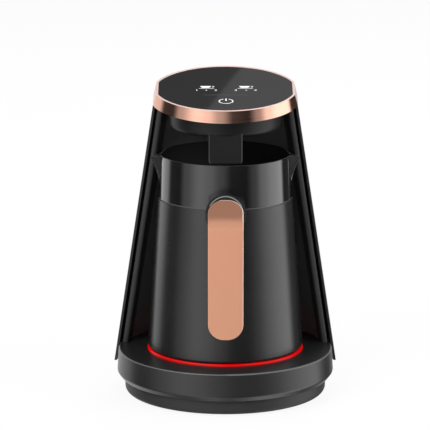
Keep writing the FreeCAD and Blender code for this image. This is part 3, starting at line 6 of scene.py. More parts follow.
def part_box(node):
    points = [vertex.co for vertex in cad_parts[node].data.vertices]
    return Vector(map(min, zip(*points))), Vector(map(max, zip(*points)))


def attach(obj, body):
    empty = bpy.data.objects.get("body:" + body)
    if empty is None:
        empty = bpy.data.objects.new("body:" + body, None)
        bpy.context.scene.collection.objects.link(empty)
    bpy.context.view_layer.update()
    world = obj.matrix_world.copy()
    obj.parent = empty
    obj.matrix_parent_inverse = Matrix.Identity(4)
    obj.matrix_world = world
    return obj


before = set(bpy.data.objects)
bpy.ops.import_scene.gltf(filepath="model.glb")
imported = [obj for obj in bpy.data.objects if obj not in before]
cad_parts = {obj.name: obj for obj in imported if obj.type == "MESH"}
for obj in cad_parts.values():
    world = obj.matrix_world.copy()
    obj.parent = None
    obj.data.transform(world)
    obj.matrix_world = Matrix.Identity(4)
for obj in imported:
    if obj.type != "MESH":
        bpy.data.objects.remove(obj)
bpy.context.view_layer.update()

# Camera: a long lens at the photograph's height and distance, level with the horizon.
# It looks a little down, so the tops of the head and of the base disc show.
scene = bpy.context.scene
scene.view_settings.view_transform = "Standard"
camera_data = bpy.data.cameras.new("photo_camera")
camera_data.sensor_width = 36.0
camera_data.lens = 263.05
camera_data.clip_end = 50.0
camera = bpy.data.objects.new("photo_camera", camera_data)
scene.collection.objects.link(camera)
camera_place = Vector((-0.008, -2.38235, 0.66762))
camera_aim = Vector((-0.008, 0.0, 0.13994))
camera.location = camera_place
camera.rotation_euler = (camera_aim - camera_place).to_track_quat("-Z", "Y").to_euler()
scene.camera = camera

# Studio: a white sweep, three soft lamps and a tent of pale cloth with dark cards between its strips.
# The tent is only seen in reflections, where it draws the upright bands that gloss black shows.


def link(tree, source, target):
    tree.links.new(source, target)


def maths(tree, operation, first, second=None):
    """A Math node; a number is typed in and a socket is linked."""
    node = tree.nodes.new("ShaderNodeMath")
    node.operation = operation
    for place, value in enumerate((first, second)):
        if value is None:
            continue
        if isinstance(value, (int, float)):
            node.inputs[place].default_value = value
        else:
            link(tree, value, node.inputs[place])
    return node.outputs[0]


def grey_ramp(tree, factor, stops):
    """A colour ramp through (place, grey) stops."""
    node = tree.nodes.new("ShaderNodeValToRGB")
    ramp = node.color_ramp
    ramp.interpolation = "EASE"
    ramp.elements.remove(ramp.elements[1])
    for index, (place, grey) in enumerate(stops):
        element = ramp.elements[0] if index == 0 else ramp.elements.new(place)
        element.position = place
        element.color = (grey, grey, grey, 1)
    link(tree, factor, node.inputs["Fac"])
    return node.outputs["Color"]


def blend_greys(tree, factor, first, second):
    node = tree.nodes.new("ShaderNodeMix")
    node.data_type = "RGBA"
    link(tree, factor, node.inputs["Factor"])
    for socket, value in ((node.inputs["A"], first), (node.inputs["B"], second)):
        if isinstance(value, float):
            socket.default_value = (value, value, value, 1)
        else:
            link(tree, value, socket)
    return node.outputs["Result"]


def object_axes(tree):
    """The three places of a point in the object's own coordinates."""
    place = tree.nodes.new("ShaderNodeTexCoord")
    axes = tree.nodes.new("ShaderNodeSeparateXYZ")
    link(tree, place.outputs["Object"], axes.inputs[0])
    return axes.outputs


def unlit_seen(tree):
    """One for rays that look at the background: from the camera, off gloss or through glass."""
    paths = tree.nodes.new("ShaderNodeLightPath")
    seen = maths(tree, "MAXIMUM", paths.outputs["Is Camera Ray"], paths.outputs["Is Glossy Ray"])
    return maths(tree, "MAXIMUM", seen, paths.outputs["Is Transmission Ray"])


world = bpy.data.worlds.new("white_studio")
scene.world = world
world.use_nodes = True
sky = world.node_tree
sky.nodes.clear()
white_sky = sky.nodes.new("ShaderNodeBackground")
white_sky.inputs["Color"].default_value = (1, 1, 1, 1)
soft_fill = sky.nodes.new("ShaderNodeBackground")
soft_fill.inputs["Color"].default_value = (1, 1, 1, 1)
soft_fill.inputs["Strength"].default_value = 0.6
sky_choice = sky.nodes.new("ShaderNodeMixShader")
link(sky, unlit_seen(sky), sky_choice.inputs["Fac"])
link(sky, soft_fill.outputs[0], sky_choice.inputs[1])
link(sky, white_sky.outputs[0], sky_choice.inputs[2])
sky_out = sky.nodes.new("ShaderNodeOutputWorld")
link(sky, sky_choice.outputs[0], sky_out.inputs["Surface"])

lamp_plan = (("key_lamp", (-1.1, -1.3, 1.5), 1.0, 24.0), ("right_lamp", (1.4, -0.7, 0.9), 0.9, 13.0),
             ("back_lamp", (0.3, 1.3, 1.5), 1.0, 11.0))
for name, place, breadth, power in lamp_plan:
    lamp_data = bpy.data.lights.new(name, "AREA")
    lamp_data.size = breadth
    lamp_data.energy = power
    lamp_data.specular_factor = 0.0
    lamp = bpy.data.objects.new(name, lamp_data)
    scene.collection.objects.link(lamp)
    lamp.location = place
    lamp.rotation_euler = (Vector((0, 0, 0.12)) - lamp.location).to_track_quat("-Z", "Y").to_euler()

bpy.ops.object.select_all(action="DESELECT")
bpy.ops.mesh.primitive_plane_add(size=9.0, location=(0, 0, 0))
floor = bpy.context.object
floor.name = "studio_floor"
floor.visible_glossy = False
floor_paint = bpy.data.materials.new("pale_sweep")
floor_paint.use_nodes = True
sweep = floor_paint.node_tree
sweep.nodes.clear()
sweep_matt = sweep.nodes.new("ShaderNodeBsdfDiffuse")
sweep_matt.inputs["Color"].default_value = (0.88, 0.88, 0.88, 1)
sweep_white = sweep.nodes.new("ShaderNodeEmission")
sweep_white.inputs["Strength"].default_value = 1.0
sweep_choice = sweep.nodes.new("ShaderNodeMixShader")
link(sweep, maths(sweep, "MULTIPLY", unlit_seen(sweep), 0.9), sweep_choice.inputs["Fac"])
link(sweep, sweep_matt.outputs[0], sweep_choice.inputs[1])
link(sweep, sweep_white.outputs[0], sweep_choice.inputs[2])
sweep_out = sweep.nodes.new("ShaderNodeOutputMaterial")
link(sweep, sweep_choice.outputs[0], sweep_out.inputs["Surface"])
floor.data.materials.append(floor_paint)

TENT_RADIUS = 0.6
TENT_CENTRE = 0.12
bpy.ops.object.select_all(action="DESELECT")
tent_place = (0, 0, TENT_CENTRE)
bpy.ops.mesh.primitive_uv_sphere_add(segments=96, ring_count=48, radius=TENT_RADIUS, location=tent_place)
tent = bpy.context.object
tent.name = "light_tent"
for way in ("camera", "diffuse", "shadow", "transmission", "volume_scatter"):
    setattr(tent, f"visible_{way}", False)
tent_cloth = bpy.data.materials.new("tent_cloth")
tent_cloth.use_nodes = True
cloth = tent_cloth.node_tree
cloth.nodes.clear()
across, deep, high = object_axes(cloth)
bearing = maths(cloth, "ARCTAN2", across, maths(cloth, "MULTIPLY", deep, -1.0))
turn_share = maths(cloth, "ADD", maths(cloth, "MULTIPLY", bearing, 0.5 / math.pi), 0.5)


def compass(degrees):
    """Place on the ramp of a bearing: 0 in front of the appliance, 90 at its right."""
    return (degrees + 180.0) / 360.0


strips = grey_ramp(cloth, turn_share, [
    (compass(-179), 0.75), (compass(-150), 0.9), (compass(-118), 0.8), (compass(-104), 0.05),
    (compass(-84), 0.04), (compass(-70), 0.5), (compass(-42), 1.2), (compass(-26), 1.0), (compass(-8), 0.5),
    (compass(12), 0.06), (compass(34), 0.03), (compass(50), 0.38), (compass(66), 1.15), (compass(84), 1.6),
    (compass(108), 1.6), (compass(118), 0.04), (compass(136), 0.04), (compass(152), 0.5),
    (compass(179), 0.75)])
rise = maths(cloth, "ADD", maths(cloth, "MULTIPLY", high, 0.5 / TENT_RADIUS), 0.5)
overhead = grey_ramp(cloth, rise, [(0.70, 0.30), (0.80, 0.95), (0.86, 0.95), (0.93, 0.22), (1.0, 0.2)])
over_share = grey_ramp(cloth, rise, [(0.66, 0.0), (0.74, 1.0)])
walls = blend_greys(cloth, over_share, strips, overhead)
CARD_SLOPE = 0.98
CARD_EDGE = 0.3533
CARD_FRONT = 0.30
CARD_FOOT = 0.2
leaned = maths(cloth, "ADD", across, maths(cloth, "MULTIPLY", high, CARD_SLOPE))
card_edge = maths(cloth, "GREATER_THAN", leaned, CARD_EDGE)
card = blend_greys(cloth, card_edge, 0.12, 0.30)
behind = maths(cloth, "MULTIPLY", maths(cloth, "GREATER_THAN", deep, CARD_FRONT),
               maths(cloth, "GREATER_THAN", high, CARD_FOOT))
cloth_light = cloth.nodes.new("ShaderNodeEmission")
link(cloth, blend_greys(cloth, behind, walls, card), cloth_light.inputs["Color"])
cloth_out = cloth.nodes.new("ShaderNodeOutputMaterial")
link(cloth, cloth_light.outputs[0], cloth_out.inputs["Surface"])
tent.data.materials.append(tent_cloth)

# Lower cover, feet and gland: a black moulded dish on four rubber feet, held by screws from below.
# The gland in its rear wall is a rubber bush.


def add_sockets(group, inputs):
    """Open a group's inputs, given as (name, kind), and the three outputs that a finish needs."""
    for name, kind in inputs:
        group.interface.new_socket(name=name, in_out="INPUT", socket_type="NodeSocket" + kind)
    for name, kind in (("Shade", "Color"), ("Gloss", "Float"), ("Height", "Float")):
        group.interface.new_socket(name=name, in_out="OUTPUT", socket_type="NodeSocket" + kind)
    return group.nodes.new("NodeGroupInput"), group.nodes.new("NodeGroupOutput")


def scale_shade(tree, shade, factor):
    """A colour made lighter or darker by a factor."""
    scaled = tree.nodes.new("ShaderNodeVectorMath")
    scaled.operation = "SCALE"
    link(tree, shade, scaled.inputs[0])
    link(tree, factor, scaled.inputs["Scale"])
    return scaled.outputs[0]


def wear_group(tree, group, relief, depth):
    """Lead a group's shade, gloss and height to the shader and give the group back, to set its inputs."""
    shader = tree.nodes["Principled BSDF"]
    worn = tree.nodes.new("ShaderNodeGroup")
    worn.node_tree = group
    link(tree, worn.outputs["Shade"], shader.inputs["Base Color"])
    link(tree, worn.outputs["Gloss"], shader.inputs["Roughness"])
    bump = tree.nodes.new("ShaderNodeBump")
    bump.inputs["Strength"].default_value = relief
    bump.inputs["Distance"].default_value = depth
    link(tree, worn.outputs["Height"], bump.inputs["Height"])
    link(tree, bump.outputs["Normal"], shader.inputs["Normal"])
    return worn


def moulding_group():
    """Group for moulded plastic: a fine grain, and gloss and shade that drift slowly over the piece."""
    group = bpy.data.node_groups.new("moulded_surface", "ShaderNodeTree")
    start, end = add_sockets(group, (("Shade", "Color"), ("Gloss", "Float"), ("Drift", "Float"),
                                     ("Grain size", "Float")))
    place = group.nodes.new("ShaderNodeTexCoord")
    grain = group.nodes.new("ShaderNodeTexNoise")
    grain.inputs["Detail"].default_value = 4.0
    link(group, place.outputs["Object"], grain.inputs["Vector"])
    link(group, start.outputs["Grain size"], grain.inputs["Scale"])
    cloud = group.nodes.new("ShaderNodeTexNoise")
    cloud.inputs["Scale"].default_value = 24.0
    cloud.inputs["Detail"].default_value = 5.0
    link(group, place.outputs["Object"], cloud.inputs["Vector"])
    swing = maths(group, "SUBTRACT", cloud.outputs["Fac"], 0.5)
    drifted = maths(group, "MULTIPLY", swing, start.outputs["Drift"])
    link(group, maths(group, "ADD", drifted, start.outputs["Gloss"]), end.inputs["Gloss"])
    lift = maths(group, "ADD", maths(group, "MULTIPLY", swing, 0.5), 1.0)
    link(group, scale_shade(group, start.outputs["Shade"], lift), end.inputs["Shade"])
    link(group, grain.outputs["Fac"], end.inputs["Height"])
    return group


MOULDING = moulding_group()
GRAIN_DEPTH = 0.0001


def moulded(name, shade, gloss, drift=0.08, grain=1400.0, relief=0.10, metal=0.0, level=0.5, coat=0.0,
            coat_gloss=0.04):
    """A finish on the moulding group; relief is the bump's strength over a tenth of a millimetre."""
    paint = bpy.data.materials.new(name)
    paint.use_nodes = True
    tree = paint.node_tree
    shader = tree.nodes["Principled BSDF"]
    shader.inputs["Metallic"].default_value = metal
    shader.inputs["Specular IOR Level"].default_value = level
    shader.inputs["Coat Weight"].default_value = coat
    shader.inputs["Coat Roughness"].default_value = coat_gloss
    mould = wear_group(tree, MOULDING, relief, GRAIN_DEPTH)
    mould.inputs["Shade"].default_value = (*shade, 1)
    mould.inputs["Gloss"].default_value = gloss
    mould.inputs["Drift"].default_value = drift
    mould.inputs["Grain size"].default_value = grain
    return paint


def dress(paint, *nodes):
    """Give CAD nodes a finish."""
    for node in nodes:
        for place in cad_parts[node].material_slots:
            place.material = paint


dress(moulded("cover_matt_black", (0.026, 0.026, 0.027), 0.5, level=0.35), "bottom_cover")
rubber = moulded("foot_rubber", (0.022, 0.022, 0.022), 0.82, drift=0.1, grain=900.0, relief=0.35, level=0.3)
dress(rubber, "rubber_feet", "cord_gland")
zinc = moulded("zinc_steel", (0.52, 0.52, 0.54), 0.3, drift=0.15, grain=2200.0, relief=0.06, metal=1.0)
dress(zinc, "base_screws")

# Base housing: the round black disc that the tower and the hot plate stand on, one satin moulding.
# It is spark-finished, so it shows broad soft bands; the thin light line on its top edge is a painted highlight.


def paint_over(paint, mask, shade):
    """Cover a finish with another colour where the mask is one."""
    tree = paint.node_tree
    shader = tree.nodes["Principled BSDF"]
    blend = tree.nodes.new("ShaderNodeMix")
    blend.data_type = "RGBA"
    link(tree, mask, blend.inputs["Factor"])
    link(tree, shader.inputs["Base Color"].links[0].from_socket, blend.inputs["A"])
    blend.inputs["B"].default_value = (*shade, 1)
    link(tree, blend.outputs["Result"], shader.inputs["Base Color"])


def painted_light_by_normal(paint, way, least, most, shade, above=0.0, behind=-1.0, plain=0.0):
    """Painted light: paint the faces whose normal leans along way by least to most in a lighter shade; plain
    takes away their metal so that the painted colour shows.
    """
    tree = paint.node_tree
    shader = tree.nodes["Principled BSDF"]
    facing = tree.nodes.new("ShaderNodeNewGeometry")
    lean = tree.nodes.new("ShaderNodeVectorMath")
    lean.operation = "DOT_PRODUCT"
    lean.inputs[1].default_value = way
    link(tree, facing.outputs["Normal"], lean.inputs[0])
    axes = object_axes(tree)
    leaning = maths(tree, "MULTIPLY", maths(tree, "GREATER_THAN", lean.outputs["Value"], least),
                    maths(tree, "LESS_THAN", lean.outputs["Value"], most))
    inside = maths(tree, "MULTIPLY", maths(tree, "GREATER_THAN", axes[2], above),
                   maths(tree, "GREATER_THAN", axes[1], behind))
    mask = maths(tree, "MULTIPLY", leaning, inside)
    paint_over(paint, mask, shade)
    if plain:
        full = shader.inputs["Metallic"].default_value
        lost = maths(tree, "MULTIPLY", mask, plain)
        link(tree, maths(tree, "SUBTRACT", full, lost), shader.inputs["Metallic"])


disc_black = moulded("disc_satin_black", (0.016, 0.016, 0.017), 0.30, drift=0.06, level=0.6)
# Painted highlight: the rounded top edge, where the faces lean up, is painted a lighter grey.
painted_light_by_normal(disc_black, (0, 0, 1), 0.3, 0.93, (0.10, 0.10, 0.10))
dress(disc_black, "base_housing")

# Hot plate and light ring: a coated aluminium plate, and round it a clear red guide lit from below.
# Both drop into the middle of the disc.

plate_coat = moulded("plate_coat", (0.06, 0.06, 0.062), 0.42, drift=0.12, grain=2600.0, relief=0.2, metal=0.6)
dress(plate_coat, "hot_plate")
ring_paint = bpy.data.materials.new("ring_red")
ring_paint.use_nodes = True
ring_tree = ring_paint.node_tree
ring_shader = ring_tree.nodes["Principled BSDF"]
ring_shader.inputs["Base Color"].default_value = (0.03, 0.0, 0.0, 1)
ring_shader.inputs["Roughness"].default_value = 0.25
LAMP_COUNT = 12.0
ring_axes = object_axes(ring_tree)
ring_turn = maths(ring_tree, "ARCTAN2", ring_axes[0], ring_axes[1])
ring_wave = maths(ring_tree, "SINE", maths(ring_tree, "MULTIPLY", ring_turn, LAMP_COUNT))
ring_glow = ring_tree.nodes.new("ShaderNodeMix")
ring_glow.data_type = "RGBA"
link(ring_tree, maths(ring_tree, "ADD", maths(ring_tree, "MULTIPLY", ring_wave, 0.25), 0.5),
     ring_glow.inputs["Factor"])
ring_glow.inputs["A"].default_value = (0.60, 0.0, 0.0, 1)
ring_glow.inputs["B"].default_value = (0.68, 0.0, 0.0, 1)
link(ring_tree, ring_glow.outputs["Result"], ring_shader.inputs["Emission Color"])
RING_THROW = 0.6
RING_SEEN = 1.0
ring_path = ring_tree.nodes.new("ShaderNodeLightPath")
ring_extra = maths(ring_tree, "MULTIPLY", ring_path.outputs["Is Camera Ray"], RING_SEEN - RING_THROW)
ring_power = maths(ring_tree, "ADD", RING_THROW, ring_extra)
link(ring_tree, ring_power, ring_shader.inputs["Emission Strength"])
dress(ring_paint, "light_ring")

# Heater, pan, sensor and boards: what the base holds, closed in by the disc and the lower cover.
# Steel pressings, a sheathed heater and green boards with their parts.

dress(moulded("bright_pan", (0.62, 0.62, 0.63), 0.24, drift=0.1, grain=1800.0, relief=0.05, metal=1.0),
      "reflector_pan", "heat_sensor")
dress(zinc, "sensor_bracket", "sensor_spring", "thermal_fuse", "touch_springs", "tower_screws", "head_screws",
      "handle_screws", "handle_bracket")
dress(moulded("heater_sheath", (0.20, 0.17, 0.15), 0.45, drift=0.2, metal=0.9), "heating_element")
board_green = moulded("board_green", (0.015, 0.12, 0.05), 0.32, drift=0.1, grain=500.0, relief=0.12)
dress(board_green, "power_board", "light_board", "touch_board", "foam_sensor")
dress(moulded("lamp_white", (0.72, 0.70, 0.62), 0.4), "ring_lamps")
dress(moulded("parts_grey", (0.12, 0.12, 0.13), 0.5), "power_parts", "board_posts", "buzzer")

# Tower: a tapered half shell of satin black over a matt inner wall whose front edge rolls into a lip.
# A steel frame and the wires run between the two.

dress(moulded("skin_satin_black", (0.017, 0.017, 0.018), 0.36, drift=0.06, level=0.6), "tower_rear_cover")
wall_black = moulded("wall_matt_black", (0.035, 0.035, 0.036), 0.5, drift=0.05, level=0.3)
# Painted light: the inner wall behind 24 mm from its origin is painted a lighter grey, whatever way it faces.
painted_light_by_normal(wall_black, (0, 0, 1), -1.1, 1.1, (0.12, 0.12, 0.121), behind=0.024)
dress(wall_black, "tower_front_panel")
dress(moulded("frame_steel", (0.45, 0.45, 0.46), 0.4, metal=1.0), "tower_frame")
dress(moulded("wire_sleeve", (0.03, 0.03, 0.03), 0.6), "wire_harness")

# Head band: a rose-gold trim, brushed round its side and plated, that frames the touch glass.
# It clips over the head, tilted to the front with it.

HEAD_TILT = math.radians(8.2)


def brushed_group():
    """Group for brushed metal: long fine streaks along x and y, none along z."""
    group = bpy.data.node_groups.new("brushed_metal", "ShaderNodeTree")
    start, end = add_sockets(group, (("Place", "Vector"), ("Shade", "Color"), ("Gloss", "Float"),
                                     ("Streak", "Float")))
    streaks = group.nodes.new("ShaderNodeTexNoise")
    streaks.inputs["Scale"].default_value = 1.0
    streaks.inputs["Detail"].default_value = 6.0
    link(group, start.outputs["Place"], streaks.inputs["Vector"])
    centred = maths(group, "SUBTRACT", streaks.outputs["Fac"], 0.5)
    swing = maths(group, "MULTIPLY", centred, start.outputs["Streak"])
    link(group, maths(group, "ADD", start.outputs["Gloss"], swing), end.inputs["Gloss"])
    link(group, scale_shade(group, start.outputs["Shade"], maths(group, "ADD", swing, 1.0)), end.inputs["Shade"])
    link(group, streaks.outputs["Fac"], end.inputs["Height"])
    return group


BRUSHED = brushed_group()
STREAK_DEPTH = 0.00005


def brushed(name, shade, gloss, streak, along, turn, metal, relief):
    """A brushed finish; along gives the streaks' counts per metre on the turned axes."""
    paint = bpy.data.materials.new(name)
    paint.use_nodes = True
    tree = paint.node_tree
    shader = tree.nodes["Principled BSDF"]
    shader.inputs["Metallic"].default_value = metal
    place = tree.nodes.new("ShaderNodeTexCoord")
    mapping = tree.nodes.new("ShaderNodeMapping")
    mapping.vector_type = "TEXTURE"
    mapping.inputs["Rotation"].default_value = (turn, 0, 0)
    mapping.inputs["Scale"].default_value = [1 / count for count in along]
    link(tree, place.outputs["Object"], mapping.inputs["Vector"])
    brush = wear_group(tree, BRUSHED, relief, STREAK_DEPTH)
    link(tree, mapping.outputs[0], brush.inputs["Place"])
    brush.inputs["Shade"].default_value = (*shade, 1)
    brush.inputs["Gloss"].default_value = gloss
    brush.inputs["Streak"].default_value = streak
    return paint


band_rose = brushed("band_rose", (0.95, 0.54, 0.41), 0.11, 0.26, (22.0, 22.0, 2600.0), HEAD_TILT, 1.0, 0.12)
# Painted highlight: the top rim of the band, facing up along the head's tilt, is painted pale pink with most of
# its metal taken away.
painted_light_by_normal(band_rose, (0, -math.sin(HEAD_TILT), math.cos(HEAD_TILT)), 0.35, 1.1, (0.86, 0.62, 0.58), plain=0.85)
dress(band_rose, "head_bezel")

# Touch glass and its carrier: a smoked black glass with white symbols printed on it.
# Two cups, the numbers under them, a fine line and the power sign; the rest of the glass is bare.

glass = moulded("panel_glass", (0.010, 0.010, 0.011), 0.05, drift=0.02, grain=60.0, relief=0.0, level=0.6)
dress(glass, "touch_panel")
dress(moulded("carrier_black", (0.02, 0.02, 0.021), 0.5), "panel_carrier")
print_white = moulded("print_white", (0.86, 0.86, 0.85), 0.5, drift=0.05, relief=0.0)
print_grey = moulded("print_grey", (0.10, 0.10, 0.10), 0.5, drift=0.05, relief=0.0)
MILLIMETRE = 0.001
PANEL_AXIS_HEIGHT = 0.2402
PANEL_DROP = 0.0003
INK = 0.00003
INK_HALF_THICKNESS = 0.00001
panel_frame = Matrix.Translation((0, 0, PANEL_AXIS_HEIGHT)) @ Matrix.Rotation(HEAD_TILT, 4, "X")


def lay_on_glass(piece, x, y, paint):
    """Turn a thin drawing into a mesh and lay it on the tilted glass at x, y, in millimetres."""
    bpy.ops.object.select_all(action="DESELECT")
    piece.select_set(True)
    bpy.context.view_layer.objects.active = piece
    if piece.type != "MESH":
        bpy.ops.object.convert(target="MESH")
        piece = bpy.context.object
    piece.data.transform(panel_frame @ Matrix.Translation((x * MILLIMETRE, y * MILLIMETRE, INK - PANEL_DROP)))
    piece.data.materials.clear()
    piece.data.materials.append(paint)
    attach(piece, "appliance")


def ink_shape(name, outlines):
    """A flat drawing from closed outlines of (x, y) in millimetres, as a filled curve."""
    curve = bpy.data.curves.new(name, "CURVE")
    curve.dimensions = "2D"
    curve.fill_mode = "BOTH"
    curve.extrude = INK_HALF_THICKNESS
    for points in outlines:
        spline = curve.splines.new("POLY")
        spline.points.add(len(points) - 1)
        for point, (x, y) in zip(spline.points, points):
            point.co = (x * MILLIMETRE, y * MILLIMETRE, 0, 1)
        spline.use_cyclic_u = True
    piece = bpy.data.objects.new(name, curve)
    scene.collection.objects.link(piece)
    return piece


def arc(cx, cy, radius_x, radius_y, first, last, steps=24):
    """Points of an arc in millimetres and degrees."""
    turns = [math.radians(first + (last - first) * step / steps) for step in range(steps + 1)]
    return [(cx + radius_x * math.cos(turn), cy + radius_y * math.sin(turn)) for turn in turns]


def cup_outlines():
    """A cup from the side: rounded bowl, a looped handle at its right and a saucer line."""
    rim = [(-4.9, 3.4), (3.1, 3.4)]
    bowl = rim + arc(-0.1, 3.2, 3.2, 4.8, 0, -60, 10) + arc(-1.7, 3.2, 3.2, 4.8, 240, 180, 10)
    loop = arc(3.4, 1.6, 2.4, 1.6, 75, -75, 14) + arc(3.4, 1.6, 1.7, 0.9, -75, 75, 14)
    saucer = [(-6.4, -2.2), (5.8, -2.2), (5.0, -2.9), (-5.6, -2.9)]
    return [bowl, loop, saucer]


CUP_ROW = 1.8
for name, x in (("cup_sign_left", -14.3), ("cup_sign_right", 15.6)):
    lay_on_glass(ink_shape(name, cup_outlines()), x, CUP_ROW, print_white)

NUMBER_ROW = -5.0
NUMBER_SIZE = 5.0
number_plan = (("1", -22.0), ("2", -7.5), ("3", 8.0), ("4", 23.0))
for digit, x in number_plan:
    text = bpy.data.curves.new(f"number_{digit}", "FONT")
    text.body = digit
    text.size = NUMBER_SIZE * MILLIMETRE
    text.align_x = "CENTER"
    text.align_y = "CENTER"
    text.extrude = INK_HALF_THICKNESS
    piece = bpy.data.objects.new(f"number_{digit}", text)
    scene.collection.objects.link(piece)
    lay_on_glass(piece, x, NUMBER_ROW, print_white)
for name, x in (("dot_left", -14.7), ("dot_right", 16.0)):
    lay_on_glass(ink_shape(name, [arc(0, 0, 0.7, 0.7, 0, 350, 20)]), x, NUMBER_ROW, print_white)
fine_line = ink_shape("fine_line", [[(-17, 0.15), (17, 0.15), (17, -0.15), (-17, -0.15)]])
lay_on_glass(fine_line, 0.2, -16.4, print_grey)
power_ring = arc(0, 0, 5.7, 5.7, 112, 428, 48) + arc(0, 0, 4.8, 4.8, 428, 112, 48)
power_bar = [(-0.5, 6.4), (0.5, 6.4), (0.5, 0.8), (-0.5, 0.8)]
lay_on_glass(ink_shape("power_sign", [power_ring, power_bar]), 0.4, -31.5, print_white)

# Lower head and nose: the black bowl that hangs under the head, and the gloss sensor nose in front of it.
# The nose carries a smoked window over the foam sensor.

dress(moulded("bowl_satin_black", (0.009, 0.009, 0.0095), 0.40, drift=0.06, level=0.28), "head_lower_housing")
nose_black = moulded("nose_gloss_black", (0.006, 0.006, 0.0065), 0.14, drift=0.04, relief=0.02, level=0.35)
# Painted highlight: the rounded side edges of the nose are painted a lighter grey.
for side in (-1, 1):
    painted_light_by_normal(nose_black, (side, 0, 0), 0.4, 0.9, (0.05, 0.05, 0.05))
dress(nose_black, "nose_housing")
dress(moulded("smoke_window", (0.012, 0.008, 0.010), 0.08, relief=0.0), "sensor_window")

# Pot: a lacquered vessel with a pouring beak on each side, set in a satin black sleeve.
# Its gasket hides the joint, and a plate and ring close the foot.

RIM_HIGHLIGHT_DEPTH = 0.003
INSIDE_LEAN = 0.004
INSIDE_GLOSS = 0.85
vessel_coat = moulded("vessel_gloss_black", (0.006, 0.006, 0.0065), 0.12, drift=0.04, relief=0.02, level=0.6,
                      coat=1.0)
vessel_tree = vessel_coat.node_tree
vessel_shader = vessel_tree.nodes["Principled BSDF"]
vessel_way = vessel_tree.nodes.new("ShaderNodeNewGeometry")
vessel_spot = vessel_tree.nodes.new("ShaderNodeTexCoord")
vessel_side = vessel_tree.nodes.new("ShaderNodeVectorMath")
vessel_side.operation = "DOT_PRODUCT"
link(vessel_tree, vessel_way.outputs["True Normal"], vessel_side.inputs[0])
link(vessel_tree, vessel_spot.outputs["Object"], vessel_side.inputs[1])
vessel_inside = maths(vessel_tree, "LESS_THAN", vessel_side.outputs["Value"], INSIDE_LEAN)
link(vessel_tree, maths(vessel_tree, "SUBTRACT", 1.0, vessel_inside), vessel_shader.inputs["Coat Weight"])
vessel_gloss = vessel_shader.inputs["Roughness"].links[0].from_socket
inside_gloss = maths(vessel_tree, "MULTIPLY", vessel_inside, INSIDE_GLOSS)
link(vessel_tree, maths(vessel_tree, "MAXIMUM", vessel_gloss, inside_gloss), vessel_shader.inputs["Roughness"])
vessel_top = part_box("pot_vessel")[1][2]
# Painted highlight: the upward faces within the top 3 mm of the vessel, its lip, are painted a lighter grey.
painted_light_by_normal(vessel_coat, (0, 0, 1), 0.3, 1.1, (0.16, 0.16, 0.16), above=vessel_top - RIM_HIGHLIGHT_DEPTH)
dress(vessel_coat, "pot_vessel")
dress(moulded("sleeve_satin_black", (0.011, 0.011, 0.012), 0.27, drift=0.05, relief=0.05, level=0.6, coat=0.25,
              coat_gloss=0.22), "pot_sleeve")
dress(moulded("gasket_grey", (0.07, 0.07, 0.072), 0.4, level=0.8), "vessel_gasket")
dress(plate_coat, "pot_base_plate")
dress(moulded("foot_ring_black", (0.02, 0.02, 0.02), 0.5), "pot_foot_ring")

# Handle: a gloss black core with an arched arm, faced with a bent plate of satin rose aluminium.
# Two screws hold the arm to a bracket on the vessel. The arm's crown and the plate's edges carry painted
# highlights, and the plate's bent top carries painted shade.

# Painted highlight: a thin lighter arc on the arm's crown, just outside the plate's bend.
COLLAR_HIGHLIGHT_PLACE = 0.0018
COLLAR_HIGHLIGHT_HALF_WIDTH = 0.00035
COLLAR_HIGHLIGHT_START = 0.7
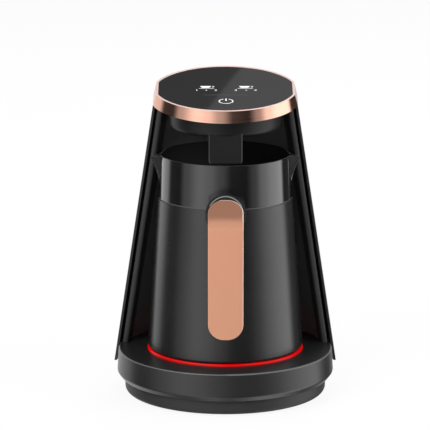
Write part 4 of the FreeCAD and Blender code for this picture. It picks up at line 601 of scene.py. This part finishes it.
# Painted shade: how far down the plate's darker top reaches, and how dark it is.
PAINTED_SHADE_START = 0.185
PAINTED_SHADE_END = 0.115
PAINTED_SHADE_LEVEL = 0.52
arm_black = moulded("arm_gloss_black", (0.007, 0.007, 0.0075), 0.07, drift=0.03, relief=0.01, level=0.8,
                    coat=0.6)
cover_corner, cover_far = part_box("handle_cover")
cover_bend = (cover_far[0] - cover_corner[0]) / 2
arm_tree = arm_black.node_tree
arm_axes = object_axes(arm_tree)
arm_rise = maths(arm_tree, "SUBTRACT", arm_axes[2], cover_far[2] - cover_bend)
arm_square = maths(arm_tree, "ADD", maths(arm_tree, "MULTIPLY", arm_axes[0], arm_axes[0]),
                   maths(arm_tree, "MULTIPLY", arm_rise, arm_rise))
arm_reach = maths(arm_tree, "SQRT", arm_square)
# Painted highlight: a thin ring of grey round the crown of the arm, above part of its rise.
highlight_miss = maths(arm_tree, "ABSOLUTE", maths(arm_tree, "SUBTRACT", arm_reach, cover_bend + COLLAR_HIGHLIGHT_PLACE))
arm_highlight = maths(arm_tree, "MULTIPLY", maths(arm_tree, "LESS_THAN", highlight_miss, COLLAR_HIGHLIGHT_HALF_WIDTH),
                 maths(arm_tree, "GREATER_THAN", arm_rise, cover_bend * COLLAR_HIGHLIGHT_START))
paint_over(arm_black, arm_highlight, (0.2, 0.2, 0.2))
dress(arm_black, "handle_core")
cover_rose = brushed("cover_rose", (0.80, 0.385, 0.24), 0.36, 0.05, (1500.0, 40.0, 40.0), 0.0, 0.5, 0.03)
cover_tree = cover_rose.node_tree
cover_shader = cover_tree.nodes["Principled BSDF"]
cover_top = cover_far[2]
cover_height = cover_top - cover_corner[2]
# Painted shade: the plate's top, where it bends back, is painted darker, fading in over a band below the top.
painted_shade_step = cover_tree.nodes.new("ShaderNodeMapRange")
painted_shade_step.interpolation_type = "SMOOTHSTEP"
painted_shade_step.inputs["From Min"].default_value = cover_top - PAINTED_SHADE_START * cover_height
painted_shade_step.inputs["From Max"].default_value = cover_top - PAINTED_SHADE_END * cover_height
painted_shade_step.inputs["To Min"].default_value = 1.0
painted_shade_step.inputs["To Max"].default_value = PAINTED_SHADE_LEVEL
link(cover_tree, object_axes(cover_tree)[2], painted_shade_step.inputs["Value"])
cover_base = cover_shader.inputs["Base Color"]
cover_shade = scale_shade(cover_tree, cover_base.links[0].from_socket, painted_shade_step.outputs["Result"])
link(cover_tree, cover_shade, cover_base)
# Painted highlight: the plate's right and top edges are painted pale pink with some of their metal taken away.
painted_light_by_normal(cover_rose, (0.85, 0, 0.53), 0.4, 1.1, (0.98, 0.84, 0.78), plain=0.4)
dress(cover_rose, "handle_cover")
